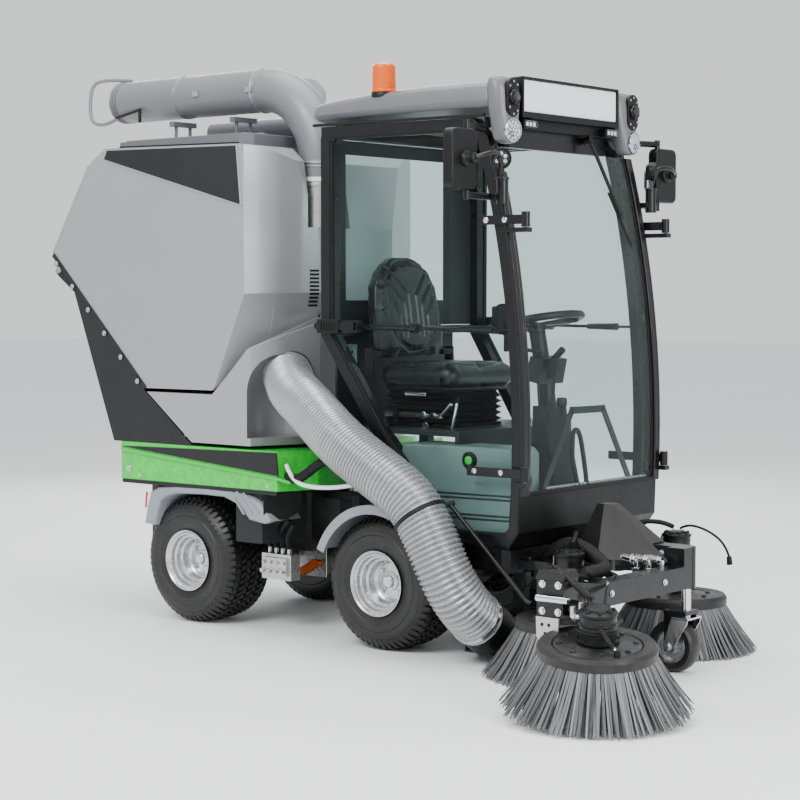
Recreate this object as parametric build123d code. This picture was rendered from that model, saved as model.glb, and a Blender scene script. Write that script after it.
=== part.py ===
from build123d import *
import math
import os

# Articulated ride-on sweeper.  Millimetres, +X forward, +Y left, +Z up.
# The model is laid out from the ground point under the front axle, and every
# node is then moved by ROW_SHIFT, which puts the origin under the middle of
# the whole machine's bounding box.
ROW_SHIFT = Vector(128.702, 257.13, 0)

# ---- driving dimensions ----
WHEELBASE = 983.0
AXLE_Z = 248.0
TYRE_R = 248.0
TYRE_W = 254.0
TYRE_INNER_Y = 226.0
RIM_R = 112.0
PIVOT_X = -500.0
PIN_R = 30.0
RUNNING_GAP = 0.06

BODY_HALF_W = 500.0

CAB_REAR_X = -262.0
CAB_FRONT_X = 610.0
CAB_HALF_REAR = 480.0
CAB_HALF_FRONT = 415.0
CAB_WALL_X = -306.0
DOOR_T = 22.0
RING_T = 34.0

HOPPER_PIVOT = (-1745.0, 1405.0)
HOPPER_PIN_R = 14.0
HATCH_PIVOT = (-1531.0, 1868.0)
HATCH_PIN_R = 8.0
BOOM_X = -560.0
BOOM_Y = -150.0
DUCT_R = 90.0
DUCT_Z = 2118.0
DUCT_REAR_X = -1640.0
DUCT_BEND_R = 300.0

HOSE_R = 98.0
HOSE_WALL = 6.0
SEAT_Y = -60.0
BRUSH_TIP_R = 302.0
BRUSH_RING_R = 185.0
BRUSH_RING_TOP = 205.0
BRUSH_RIGHT = (802.0, -400.0)
BRUSH_LEFT = (802.0, 290.0)
BRUSH_THIRD = (1268.0, -922.0)
BRUSH_TILT = 8.0
ARM_RIGHT_PIVOT = (590.0, -330.0)
ARM_LEFT_PIVOT = (590.0, 220.0)
DECK_PIVOT = (528.0, 350.0)
ARM_PIN_R = 12.0
THIRD_PIVOT = (760.0, -107.0)
THIRD_PIN_R = 30.0
STEM_R = 14.0
CASTER = (1088.0, -107.0)
CASTER_R = 92.0
CASTER_TRAIL = 45.0

DOOR_HINGE = (648.0, -446.0)
DOOR_HINGE_Z = (684, 1560)
HINGE_PIN_R = 8.0
MIRROR_POST = (511.0, -600.0)

os.makedirs("parts", exist_ok=True)

# ---- helpers ----


def block(x0, x1, y0, y1, z0, z1):
    return Pos((x0 + x1) / 2, (y0 + y1) / 2, (z0 + z1) / 2) * Box(x1 - x0, y1 - y0, z1 - z0)


def face_xz(points):
    """A face in the XZ plane at y = 0, from (x, z) points."""
    return make_face(Polyline(*[(x, 0, z) for x, z in points], close=True))


def prism_xz(points, y0, y1):
    """An outline in the side view, extruded from y0 to y1."""
    face = Pos(0, y1, 0) * face_xz(points)
    return extrude(face, amount=y1 - y0, dir=(0, -1, 0))


def prism_xy(points, z0, z1):
    """An outline in the plan view, extruded from z0 to z1."""
    face = make_face(Polyline(*[(x, y, z0) for x, y in points], close=True))
    return extrude(face, amount=z1 - z0, dir=(0, 0, 1))


def rod(start, end, radius):
    """A round bar between two points."""
    a, b = Vector(start), Vector(end)
    return Plane(a, z_dir=b - a) * extrude(Circle(radius), amount=(b - a).length)


def pipe(start, end, outer, inner):
    """A round tube between two points."""
    a, b = Vector(start), Vector(end)
    ring = Circle(outer) - Circle(inner)
    return Plane(a, z_dir=b - a) * extrude(ring, amount=(b - a).length)


def mirror_y(shape):
    return mirror(shape, about=Plane.XZ)


def both_sides(shape):
    return Compound([*shape.solids(), *mirror_y(shape).solids()])


def join(*shapes):
    total = shapes[0]
    for shape in shapes[1:]:
        total = total + shape
    return total


def group(*shapes):
    return Compound([s for shape in shapes for s in shape.solids()])


def save(name, shape):
    moved = Pos(*ROW_SHIFT) * shape
    solids = moved.solids()
    result = solids[0] if len(solids) == 1 else Compound(solids)
    export_step(result, f"parts/{name}.step")


def mirrored_plan(half):
    """Close a plan outline given for y >= 0, from back to front."""
    return half + [(x, -y) for x, y in reversed(half)]


# ---- the cab's tapering sides ----
CAB_TAPER = math.degrees(math.atan((CAB_HALF_REAR - CAB_HALF_FRONT) / (CAB_FRONT_X - CAB_REAR_X)))


def on_right_side(shape):
    """Carry a shape made at y = 0 (outside towards -Y) onto the cab's right side."""
    turn = Pos(CAB_REAR_X, -CAB_HALF_REAR, 0) * Rot(0, 0, CAB_TAPER) * Pos(-CAB_REAR_X, 0, 0)
    return turn * shape


# ---- wheels ----


def wheel_profile_tyre():
    half = TYRE_W / 2
    return [
        (RIM_R, -half + 8),
        (RIM_R + 14, -half + 8),
        (RIM_R + 45, -half),
        (TYRE_R - 46, -half),
        (TYRE_R - 16, -half + 12),
        (TYRE_R, -half + 44),
        (TYRE_R, half - 44),
        (TYRE_R - 16, half - 12),
        (TYRE_R - 46, half),
        (RIM_R + 45, half),
        (RIM_R + 14, half - 8),
        (RIM_R, half - 8),
    ]


def wheel_profile_rim():
    """Half section of a pressed steel rim: barrel, flanges and deep-set disc."""
    half = TYRE_W / 2
    barrel = RIM_R - 6
    disc = half - 96
    return [
        (RIM_R + 8, half),
        (RIM_R + 8, half - 7),
        (RIM_R, half - 8),
        (RIM_R, -half + 8),
        (RIM_R + 8, -half + 7),
        (RIM_R + 8, -half),
        (barrel, -half),
        (barrel, disc - 8),
        (30, disc - 8),
        (30, disc),
        (barrel, disc),
        (barrel, half),
    ]


def spin_about_y(profile, x, side, z):
    """Revolve a (radius, outward) section about a wheel axis on one side (-1 right, 1 left)."""
    face = make_face(Polyline(*[(r, 0, t) for r, t in profile], close=True))
    body = revolve(face, axis=Axis.Z)
    y = side * (TYRE_INNER_Y + TYRE_W / 2)
    return Pos(x, y, z) * Rot(-90 * side, 0, 0) * body


def rim(x, side):
    body = spin_about_y(wheel_profile_rim(), x, side, AXLE_Z)
    disc_y = side * (TYRE_INNER_Y + TYRE_W - 96)
    studs = []
    for k in range(4):
        a = math.radians(45 + 90 * k)
        at = (x + 54 * math.cos(a), disc_y - side * 4, AXLE_Z + 54 * math.sin(a))
        studs.append(rod(at, (at[0], disc_y + side * 16, at[2]), 9))
    cap = rod((x, disc_y - side * 8, AXLE_Z), (x, disc_y + side * 22, AXLE_Z), 30)
    return join(body, cap, *studs)


for x, where in ((0.0, "front"), (-WHEELBASE, "rear")):
    for side, hand in ((-1, "right"), (1, "left")):
        save(f"tyre_{where}_{hand}", spin_about_y(wheel_profile_tyre(), x, side, AXLE_Z))
        save(f"rim_{where}_{hand}", rim(x, side))


def hub_motors(x):
    """The wheel motors of one axle, standing inside the two rims."""
    motor = rod((x, 150, AXLE_Z), (x, 372, AXLE_Z), 66)
    return join(block(x - 45, x + 45, -160, 160, 212, 284), motor, mirror_y(motor))


# ---- rear chassis ----
KNUCKLE_LOW = (300.0, 332.0)
KNUCKLE_HIGH = (488.0, 520.0)


def rear_chassis():
    rails = block(-1330, -615, 112, 152, 284, 384)
    rails = join(rails, mirror_y(rails))
    cross_rear = block(-1372, -1330, -300, 300, 300, 540)
    cross_nose = block(-655, -612, -152, 152, 284, 520)
    lug_low = block(-640, PIVOT_X + 60, -62, 62, *KNUCKLE_LOW)
    lug_high = block(-640, PIVOT_X + 60, -62, 62, *KNUCKLE_HIGH)
    posts = block(-1320, -1280, 200, 240, 384, 700)
    posts_front = block(-700, -660, 112, 152, 384, 700)
    tie = block(-1320, -1280, 152, 240, 350, 384)
    frame = join(rails, cross_rear, cross_nose, lug_low, lug_high, hub_motors(-WHEELBASE))
    for extra in (posts, posts_front, tie):
        frame = join(frame, extra, mirror_y(extra))
    bore = rod((PIVOT_X, 0, 280), (PIVOT_X, 0, 540), PIN_R + RUNNING_GAP)
    return frame - bore


def rear_deck():
    plan = mirrored_plan([(-1336, BODY_HALF_W), (-470, BODY_HALF_W), (-412, 330)])
    inner = mirrored_plan([(-1330, BODY_HALF_W - 6), (-474, BODY_HALF_W - 6), (-418, 328)])
    shell = prism_xy(plan, 556, 708) - prism_xy(inner, 550, 700)
    lip = block(-1336, -1322, -480, 480, 541, 556)
    return join(shell, lip)


def engine_block():
    block_main = block(-1270, -730, -104, 104, 290, 540)
    head = block(-1180, -820, -150, 150, 392, 546)
    sump = block(-1200, -1060, -90, 90, 200, 290)
    pulley = rod((-730, 0, 360), (-690, 0, 360), 70)
    return join(block_main, head, sump, pulley)


def black_side_panels():
    """Lower skirts and the black rear housing that carries the hopper's hinge."""
    lower = [(-705, -482), (-566, -482), (-505, -296), (-511, -294), (-571, -476), (-705, -476)]
    skirt = prism_xy(lower, 348, 554)
    edge = [(-1628, 1338), (-1381, 708), (-926, 708), (-1202, 922)]
    cheek = prism_xz(edge, -BODY_HALF_W, -BODY_HALF_W + 6)
    back = [(-1628, 1338), (-1381, 708), (-1375, 708), (-1622, 1338)]
    wall = prism_xz(back, -BODY_HALF_W + 6, BODY_HALF_W - 6)
    x, z = HOPPER_PIVOT
    ear = [
        (x + 15, z + 22), (x - 13, z + 23), (x - 25, z - 5), (x - 7, z - 25),
        (-1612, 1284), (-1600, 1310), (-1622, 1334),
    ]
    ear = prism_xz(ear, -470, -450) - rod((x, -480, z), (x, -440, z), HOPPER_PIN_R + RUNNING_GAP)
    housing = join(cheek, mirror_y(cheek), wall, ear, mirror_y(ear))
    return group(skirt, mirror_y(skirt), housing)


REAR_GUARD = [(-1209, 386), (-1173, 514), (-1020, 545), (-655, 545), (-560, 510), (-505, 440)]
REAR_ARCH = [(-540, 428), (-624, 436), (-764, 517), (-1009, 513), (-1143, 379)]


def fender_arch(x, start, end, y0, y1, radius, thick):
    """A mudguard: a ring sector over a wheel from start to end degrees above +X."""
    ring = rod((x, y0, AXLE_Z), (x, y1, AXLE_Z), radius + thick)
    ring = ring - rod((x, y0 - 5, AXLE_Z), (x, y1 + 5, AXLE_Z), radius)
    far = 2.0 * radius
    steps = 4
    wedge = [(x, AXLE_Z)]
    for k in range(steps + 1):
        t = math.radians(start + (end - start) * k / steps)
        wedge.append((x + far * math.cos(t), AXLE_Z + far * math.sin(t)))
    return ring & prism_xz(wedge, y0 - 10, y1 + 10)


def rear_mudguards():
    """Flat-topped steel guards: outer face, folded crown and two stays up to the deck."""
    face = prism_xz(REAR_GUARD + REAR_ARCH, -503, -496)
    solid = prism_xz(REAR_GUARD + [(-505, 300), (-1209, 300)], -497, -236)
    under = [
        (-1201, 290), (-1201, 385), (-1167, 507), (-1019, 538),
        (-657, 538), (-565, 504), (-514, 440), (-514, 290),
    ]
    crown = solid - prism_xz(under, -600, -200) - block(-1300, -400, -600, -200, 200, 386)
    crown = crown - block(-706, -400, -496, -200, 200, 700)
    stay = block(-1000, -966, -420, -380, 540, 700)
    return both_sides(join(face, crown, stay))


def rear_hitch():
    plate = block(-1412, -1396, -120, 120, 300, 440)
    spacer = block(-1396, -1372, -70, 70, 320, 420)
    hitch = join(plate, spacer)
    for y in (-90, 90):
        for z in (325, 415):
            hitch = hitch - rod((-1420, y, z), (-1390, y, z), 8.5)
    return hitch


# ---- lower cover with the hose recess ----
TROUGH = (-500.0, -400.0, 925.0)
TROUGH_R = 162.0
HOSE_START = Vector(-572, -328, 985)
HOSE_IN = Vector(-102, 92, 49).normalized()


def cover_volume(d):
    """The lower cover's body, moved in by d from its outer faces."""
    side = [(-1184 + 1.8 * d, 914 - d), (-930 + d, 722 + d), (-506 - d, 722 + d)]
    side += [(-506 - d, 1196 - 2.0 * d), (-816 - d, 914 - d)]
    body = prism_xz(side, -BODY_HALF_W + d, BODY_HALF_W - d)
    plan = [(-610 - d, -600), (-610 - d, -500 + d), (-506 - d, -214 + d), (-400, -214), (-400, -600)]
    corner = prism_xy(plan, 700, 1300)
    return body - corner - mirror_y(corner)


def trough(radius):
    low = 752.0 - (radius - TROUGH_R)
    well = rod((TROUGH[0], TROUGH[1], low), (TROUGH[0], TROUGH[1], TROUGH[2]), radius)
    return join(well, Pos(*TROUGH) * Sphere(radius))


def lower_cover():
    outer = cover_volume(0)
    shell = outer - cover_volume(5)
    shell = join(shell, trough(TROUGH_R + 5) & outer)
    inlet = rod(HOSE_START - HOSE_IN * 60, HOSE_START + HOSE_IN * 160, HOSE_R + 2)
    return group(shell - trough(TROUGH_R) - inlet, hose_inlet())


def hose_inlet():
    start = HOSE_START + HOSE_IN * 3
    neck = pipe(start, start + HOSE_IN * 60, HOSE_R - 2, HOSE_R - 8)
    flange = pipe(start, start + HOSE_IN * 8, HOSE_R + 1, HOSE_R - 8)
    return join(neck, flange)


# ---- hopper ----
HOPPER_SIDE = [
    (-1421, 1893), (-671, 1878), (-604, 1868), (-546, 1818), (-506, 1566), (-500, 1236),
    (-814, 930), (-1194, 928), (-1746, 1466), (-1504, 1843),
]


def hopper_volume(d):
    side = face_xz(HOPPER_SIDE)
    if d:
        side = offset(side, amount=-d, kind=Kind.INTERSECTION)
    half = BODY_HALF_W - d
    body = extrude(Pos(0, half, 0) * side, amount=2 * half, dir=(0, -1, 0))
    plan = [(-640 - d, -600), (-640 - d, -500 + d), (-500 - d, -210 + d), (-400, -200), (-400, -600)]
    nose = prism_xy(plan, 800, 2000)
    keel = Plane(origin=(-685 - d, -500 + d, 1207), x_dir=(-127, 0, -279), z_dir=(0.84, -0.40, -0.382))
    keel_cut = keel * (Pos(0, 0, 500) * Box(1600, 1600, 1000))
    body = body - nose - mirror_y(nose) - keel_cut - mirror_y(keel_cut)
    pocket = block(-668 - d, -300, BOOM_Y - 112 - d, BOOM_Y + 112 + d, 1562 - d, 2100)
    return body - pocket


def hopper_shell():
    shell = hopper_volume(0) - hopper_volume(6)
    rear_mouth = prism_xz([(-1530, 1785), (-1460, 1745), (-1640, 1465), (-1760, 1470)], -455, 455)
    floor_inlet = rod((-700, -180, 1000), (-600, -240, 1240), 90)
    shell = shell - rear_mouth - floor_inlet
    return shell


def hopper_hinges():
    """Lower hinge plates with the pins that the ears hold, and the hatch's hinge brackets."""
    x, z = HOPPER_PIVOT
    plate = prism_xz([(x - 16, z + 18), (x + 6, z + 55), (x + 62, z + 8), (x + 18, z - 16)], -446, -426)
    knuckle = rod((x, -446, z), (x, -426, z), 24)
    pin = rod((x, -476, z), (x, -426, z), HOPPER_PIN_R)
    lower = join(plate, knuckle, pin) - hopper_solid_region()
    x, z = HATCH_PIVOT
    ear = prism_xz([
        (x - 16, z - 10), (x - 12, z + 16), (-1440, 1902), (-1424, 1880), (x + 10, z - 18),
    ], -418, -404)
    bore = rod((x, -430, z), (x, -400, z), HATCH_PIN_R + RUNNING_GAP)
    return both_sides(group(lower, ear - bore - hopper_solid_region()))


def hopper_solid_region():
    """The hopper's whole side outline, as wide as the machine."""
    return extrude(Pos(0, 600, 0) * face_xz(HOPPER_SIDE), amount=1200, dir=(0, -1, 0))


def hopper_trim():
    """Dark side inlays and the bolted strips along the lower tail edges."""
    inlay = prism_xz([
        (-1434, 1848), (-1419, 1884), (-672, 1870), (-652, 1640),
    ], -BODY_HALF_W - 3, -BODY_HALF_W)
    strip = prism_xz([
        (-1752, 1462), (-1198, 922), (-1186, 934), (-1740, 1474),
    ], -BODY_HALF_W - 4, -BODY_HALF_W)
    count = 6
    for k in range(count):
        t = (k + 0.5) / count
        x = -1746 + t * 552
        z = 1468 - t * 538
        strip = join(strip, rod((x, -BODY_HALF_W - 9, z), (x, -BODY_HALF_W - 3, z), 6))
    return both_sides(group(inlay, strip))


def hopper_roof():
    slab = [(-1398, -440), (-1398, 440), (-720, 440), (-680, 400), (-680, -400), (-720, -440)]
    under = prism_xz([(-1500, 1700), (-1500, 1894.6), (-600, 1876.6), (-600, 1700)], -600, 600)
    lid = prism_xy(slab, 1870, 1920) - under
    posts = []
    for x in (-1330, -980):
        for y in (-190, -110):
            posts.append(rod((x, y, 1918), (x, y, 2000), 7))
        posts.append(block(x - 14, x + 14, -215, -85, 1996, 2016))
    for x in (-1300, -960):
        posts.append(rod((x, 120, 1918), (x, 120, 1952), 9))
    return group(join(lid, *posts))


def boom_sleeve():
    base = pipe((BOOM_X, BOOM_Y, 1562), (BOOM_X, BOOM_Y, 1600), 100, 80)
    tube = pipe((BOOM_X, BOOM_Y, 1600), (BOOM_X, BOOM_Y, 1800), 86, 80)
    top = pipe((BOOM_X, BOOM_Y, 1786), (BOOM_X, BOOM_Y, 1800), 94, 80)
    return join(base, tube, top)


def boom_duct():
    """Swivelling duct: a vertical spigot, one elbow and a straight run to the rear."""
    x_end = BOOM_X - DUCT_BEND_R
    z_low = DUCT_Z - DUCT_BEND_R
    down = pipe((BOOM_X, BOOM_Y, 1801), (BOOM_X, BOOM_Y, z_low), DUCT_R, DUCT_R - 5)
    ring = Circle(DUCT_R) - Circle(DUCT_R - 5)
    section = Plane((BOOM_X, BOOM_Y, z_low), x_dir=(1, 0, 0), z_dir=(0, 0, 1)) * ring
    elbow = revolve(section, axis=Axis((x_end, BOOM_Y, z_low), (0, -1, 0)), revolution_arc=90)
    run = pipe((x_end, BOOM_Y, DUCT_Z), (DUCT_REAR_X, BOOM_Y, DUCT_Z), DUCT_R, DUCT_R - 5)
    spigot = pipe((BOOM_X, BOOM_Y, 1740), (BOOM_X, BOOM_Y, 1802), 79.9, 74)
    step = pipe((BOOM_X, BOOM_Y, 1801), (BOOM_X, BOOM_Y, 1806), DUCT_R, 74)
    collar = pipe((x_end - 8, BOOM_Y, DUCT_Z), (x_end + 8, BOOM_Y, DUCT_Z), DUCT_R + 4, DUCT_R - 1)
    return group(join(down, elbow, run, spigot, step, collar), *boom_end())


def boom_end():
    """Flexible end collar and the bent bar that the duct is guided by."""
    folds = pipe((DUCT_REAR_X - 50, BOOM_Y, DUCT_Z), (DUCT_REAR_X, BOOM_Y, DUCT_Z), DUCT_R - 2, DUCT_R - 10)
    x0, x1 = DUCT_REAR_X + 30, DUCT_REAR_X - 180
    line = [
        (x0, DUCT_Z + 100), (DUCT_REAR_X - 90, DUCT_Z + 104), (x1, DUCT_Z + 40),
        (x1 + 8, DUCT_Z - 40), (DUCT_REAR_X - 80, DUCT_Z - 106), (x0 + 10, DUCT_Z - 104),
    ]
    path = FilletPolyline(*[(x, BOOM_Y, z) for x, z in line], radius=34)
    bar = sweep(Plane(path @ 0, z_dir=path % 0) * Circle(8), path=path)
    return folds, bar


def hand_tube():
    """Hand suction tube stored on the roof, with its round cleaning head."""
    tube = pipe((-1420, 120, 1994), (-900, 120, 1994), 42, 38)
    neck = pipe((-900, 120, 1994), (-820, 70, 2085), 40, 36)
    facing = Vector(0.45, -0.88, 0.12).normalized()
    centre = Vector(-800, 40, 2100)
    head = Plane(centre, z_dir=facing) * extrude(Circle(76) - Circle(30), amount=14)
    cup = Plane(centre - facing * 60, z_dir=facing) * extrude(Circle(34) - Circle(30), amount=62)
    return group(tube, join(head, cup))


def hopper_hatch():
    """Rear door: hangs on a top hinge over the sloping discharge mouth."""
    slope = Vector(-242, 0, -377).normalized()
    out = Vector(-377, 0, 242).normalized()
    top = Vector(-1504, 0, 1843)
    frame = Plane(top + out * 3, x_dir=slope, z_dir=out)
    panel = frame * extrude(Pos(236, 0) * Rectangle(424, 992), amount=14)
    dome = frame * (Pos(228, 0, 14) * extrude(Rectangle(380, 900), amount=22, taper=25))
    x, z = HATCH_PIVOT
    knuckle = rod((x, -400, z), (x, 400, z), 12)
    pins = rod((x, -420, z), (x, 420, z), HATCH_PIN_R)
    strap = frame * (Pos(12, 0, 17) * Box(52, 780, 34))
    return join(panel, dome, strap, knuckle, pins)


# ---- front chassis ----


def front_chassis():
    rails = block(-400, 480, 112, 152, 284, 384)
    lug = block(PIVOT_X - 42, -390, -60, 60, 334, 486)
    cross_rear = block(-400, -360, -152, 152, 284, 520)
    cross_front = block(440, 480, -300, 300, 310, 392)
    rear_post = block(-276, -232, 112, 152, 384, 790)
    front_post = block(300, 340, 112, 152, 384, 420)
    frame = join(rails, mirror_y(rails), lug, cross_rear, cross_front, hub_motors(0))
    for post in (rear_post, front_post):
        frame = join(frame, post, mirror_y(post))
    for y in (-200, 120):
        frame = join(frame, block(470, DECK_PIVOT[0] + 28, y, y + 20, 322, 378))
    deck_bore = rod((DECK_PIVOT[0], -260, DECK_PIVOT[1]), (DECK_PIVOT[0], 260, DECK_PIVOT[1]), 14.06)
    frame = frame - deck_bore
    return frame - rod((PIVOT_X, 0, 280), (PIVOT_X, 0, 540), PIN_R)


def front_mudguards():
    crown = fender_arch(0, 42, 158, -500, -300, TYRE_R + 36, 6)
    side = fender_arch(0, 42, 158, -500, -494, TYRE_R + 8, 34)
    return both_sides(join(crown, side))


# ---- cab ----
ARC_TOP = (470.0, 1850.0)
ARC_MID = (597.0, 1180.0)
ARC_LOW = (604.0, 480.0)


def front_arc(ahead):
    """The cab's front edge in the side view, moved forward by ahead."""
    return ThreePointArc(*[(x + ahead, 0, z) for x, z in (ARC_TOP, ARC_MID, ARC_LOW)])


def front_strip(near, far, z_low, z_high, y0, y1):
    """A curved strip that follows the cab's front edge between two distances ahead of it."""
    ends = Line((ARC_LOW[0] + near, 0, ARC_LOW[1]), (ARC_LOW[0] + far, 0, ARC_LOW[1]))
    tops = Line((ARC_TOP[0] + near, 0, ARC_TOP[1]), (ARC_TOP[0] + far, 0, ARC_TOP[1]))
    face = make_face(front_arc(near) + ends + front_arc(far) + tops)
    strip = extrude(Pos(0, y1, 0) * face, amount=y1 - y0, dir=(0, -1, 0))
    return strip & block(300, 800, y0 - 1, y1 + 1, z_low, z_high)


def side_outline(inset):
    """The door opening's outline in the side view, moved in by inset."""
    front = front_arc(0)
    rest = Polyline((604, 0, 480), (560, 0, 424), (300, 0, 424), (-14, 0, 776), (-262, 0, 1150),
                    (-262, 0, 1880), (-216, 0, 1918), (410, 0, 1920), (470, 0, 1850))
    face = make_face(front + rest)
    return offset(face, amount=-inset, kind=Kind.INTERSECTION) if inset else face


def side_ring(outer_inset, inner_inset, y_out, y_in):
    """A closed frame that follows the door opening, between two depths (negative y is outside)."""
    ring = side_outline(outer_inset) - side_outline(inner_inset)
    return extrude(Pos(0, y_in, 0) * ring, amount=y_in - y_out, dir=(0, -1, 0))


def cab_frame():
    """Roll frame: two side rings, front pillars, cross bars and the door hinge brackets."""
    ring = on_right_side(side_ring(2, 44, DOOR_T + 3, DOOR_T + 3 + RING_T))
    pillar = front_strip(4, 20, 606, 1816, -436, -398)
    sides = join(ring, pillar)
    hx, hy = DOOR_HINGE
    for z, root_x in zip(DOOR_HINGE_Z, (618, 552)):
        sides = join(sides, block(root_x, hx + 15, hy - 15, -430, z - 44, z - 28))
        sides = sides - rod((hx, hy, z - 50), (hx, hy, z), HINGE_PIN_R)
    for z in (640, 1200, 1700):
        inner = front_strip(-20, 1.5, z, z + 30, -390, -366)
        sides = join(sides, inner, front_strip(1.5, 6, z, z + 30, -402, -366))
    bars = [
        block(CAB_WALL_X, -230, -428, 428, 1884, 1924),
        block(418, 448, -378, 378, 1886, 1924),
        block(446, 470, -300, 300, 1820, 1924),
        block(553, 574, -372, 372, 440, 474),
        block(-290, -244, -428, 428, 1150, 1180),
    ]
    return join(sides, mirror_y(sides), *bars)


def cab_tub():
    """Footwell, wheel-arch riser, seat platform and the panel behind the seat."""
    side = [
        (556, 420), (268, 420), (268, 790), (CAB_WALL_X, 790), (CAB_WALL_X, 1148), (CAB_WALL_X + 10, 1148),
        (CAB_WALL_X + 10, 808), (288, 808), (288, 436), (556, 436),
    ]
    floor = prism_xz(side, -352, 352)
    upper = prism_xy([
        (CAB_WALL_X, -340), (CAB_WALL_X, 340), (-280, 436), (-273, 432),
        (CAB_WALL_X + 8, 334), (CAB_WALL_X + 8, -334), (-273, -432), (-280, -436),
    ], 1182, 1882)
    return group(floor, upper - block(CAB_WALL_X - 20, CAB_WALL_X + 20, -300, 300, 1280, 1830))


def cab_glass():
    """Curved windscreen and flat rear window."""
    screen = front_strip(7, 13, 608, 1816, -397, 397)
    rear = block(CAB_WALL_X + 1, CAB_WALL_X + 6, -300, 300, 1280, 1830)
    return group(screen, rear)


def front_panel():
    side = [(612, 604), (619, 604), (615, 476), (569, 416), (563, 420), (608, 478)]
    return prism_xz(side, -436, 436)


def cab_roof():
    side = [
        (-312, 1924), (-312, 1974), (-272, 2006), (-120, 2022), (120, 2022), (300, 2036), (440, 2040),
        (468, 2020), (468, 1950), (440, 1924),
    ]
    outer = prism_xz(side, -484, 484)
    taper = prism_xy([(-100, -600), (-100, -484), (480, -440), (480, -600)], 1800, 2100)
    rear_cut = prism_xy([(-400, -600), (-400, -330), (-312, -360), (-262, -486), (-262, -600)], 1800, 2100)
    outer = outer - taper - mirror_y(taper) - rear_cut - mirror_y(rear_cut)
    inside = prism_xz([
        (-304, 1920), (-304, 1970), (-268, 1998), (-120, 2014), (120, 2014), (440, 2030), (440, 1920),
    ], -426, 426)
    return outer - inside


def lamp_pods():
    """Lamp housings at the roof's front corners and the blank sign box between them."""
    side = [
        (472, 1930), (472, 2050), (500, 2062), (530, 2058),
        (550, 1990), (540, 1836), (512, 1822), (486, 1858),
    ]
    pod = prism_xz(side, -436, -304)
    eye_high = rod((520, -380, 1986), (570, -380, 1986), 40)
    eye_low = rod((520, -380, 1875), (570, -380, 1875), 34)
    pod = pod - eye_high - eye_low
    box = block(470, 528, -303, 303, 1926, 2068) - block(522, 540, -290, 290, 1934, 2062)
    return group(join(pod, mirror_y(pod), box, block(500, 520, -310, 310, 1960, 2040)))


def headlamps():
    """Two stacked round lamps on each side, seated in the pods."""
    lamps = []
    for z, r in ((1986, 38), (1875, 32)):
        bowl = rod((521, -380, z), (541, -380, z), r)
        lens = rod((541, -380, z), (549, -380, z), r - 3)
        lamps.append(join(bowl, lens))
    return both_sides(group(*lamps))


def beacon():
    at_x, at_y = -10, -418
    base = rod((at_x, at_y, 2022), (at_x, at_y, 2046), 44)
    dome = rod((at_x, at_y, 2046), (at_x, at_y, 2100), 40)
    cap = Pos(at_x, at_y, 2100) * Sphere(40)
    return join(base, dome, cap & block(-100, 100, -500, -300, 2099, 2200))


# ---- doors ----


def door_frame():
    """Right door frame with its hinge knuckles, handle and mirror bracket."""
    ring = on_right_side(side_ring(0, 40, 0, DOOR_T))
    hx, hy = DOOR_HINGE
    parts = [ring]
    for z, reach, pad_x in zip(DOOR_HINGE_Z, (250, 190), (575, 510)):
        knuckle = pipe((hx, hy, z - 26), (hx, hy, z + 26), 15, HINGE_PIN_R + RUNNING_GAP)
        strap = block(hx - reach, hx - 9, hy - 3, hy + 3, z - 16, z + 16)
        pad = block(pad_x, pad_x + 26, hy, -400, z - 14, z + 14)
        parts += [knuckle, strap, pad]
    handle = block(-254, -70, -500, -470, 1164, 1208)
    mx, my = MIRROR_POST
    arms = [
        rod((505, -411, 1640), (mx, my, 1640), 12),
        rod((438, -416, 1880), (mx, my, 1880), 12),
        rod((mx, my, 1624), (mx, my, 1896), 11),
    ]
    return join(*parts, handle, *arms)


def door_glass():
    pane = side_outline(40.3)
    sheet = extrude(Pos(0, 14, 0) * pane, amount=5, dir=(0, -1, 0))
    return on_right_side(sheet)


def hinge_pins():
    """The steel pins of the articulation and of both doors."""
    shank = rod((PIVOT_X, 0, 290), (PIVOT_X, 0, 532), PIN_R)
    head = rod((PIVOT_X, 0, 520.5), (PIVOT_X, 0, 540), PIN_R + 12)
    hx, hy = DOOR_HINGE
    pins = [rod((hx, hy, z - 44), (hx, hy, z + 26), HINGE_PIN_R) for z in DOOR_HINGE_Z]
    return group(join(shank, head), both_sides(group(*pins)))


def mirror_head():
    x, y = MIRROR_POST
    case = block(x - 29, x + 29, y - 108, y + 34, 1654, 1866)
    recess = block(x - 40, x - 22, y - 100, y + 26, 1662, 1858)
    return case - recess - rod((x, y, 1600), (x, y, 1900), 11 + RUNNING_GAP)


# ---- controls and seat ----


def steering_column():
    outline = [(440, 436), (552, 436), (552, 620), (500, 900), (452, 900)]
    pedestal = prism_xz(outline, SEAT_Y - 70, SEAT_Y + 70)
    start, end = Vector(476, SEAT_Y, 880), Vector(420, SEAT_Y, 1168)
    shaft = rod(start, end, 30)
    binnacle = Pos(470, SEAT_Y - 10, 1030) * Rot(0, 12, 0) * Box(60, 150, 90)
    screen = Pos(455, SEAT_Y - 230, 1215) * Rot(0, -14, 0) * Box(22, 60, 110)
    stalk = rod((450, SEAT_Y, 1090), (450, SEAT_Y - 226, 1120), 7)
    link = rod((450, SEAT_Y - 222, 1116), (455, SEAT_Y - 230, 1180), 7)
    return join(pedestal, shaft, binnacle, stalk, link, screen)


WHEEL_AXIS = Vector(-56, 0, 288).normalized()
WHEEL_CENTRE = Vector(420, SEAT_Y, 1168) + WHEEL_AXIS * 34


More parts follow.
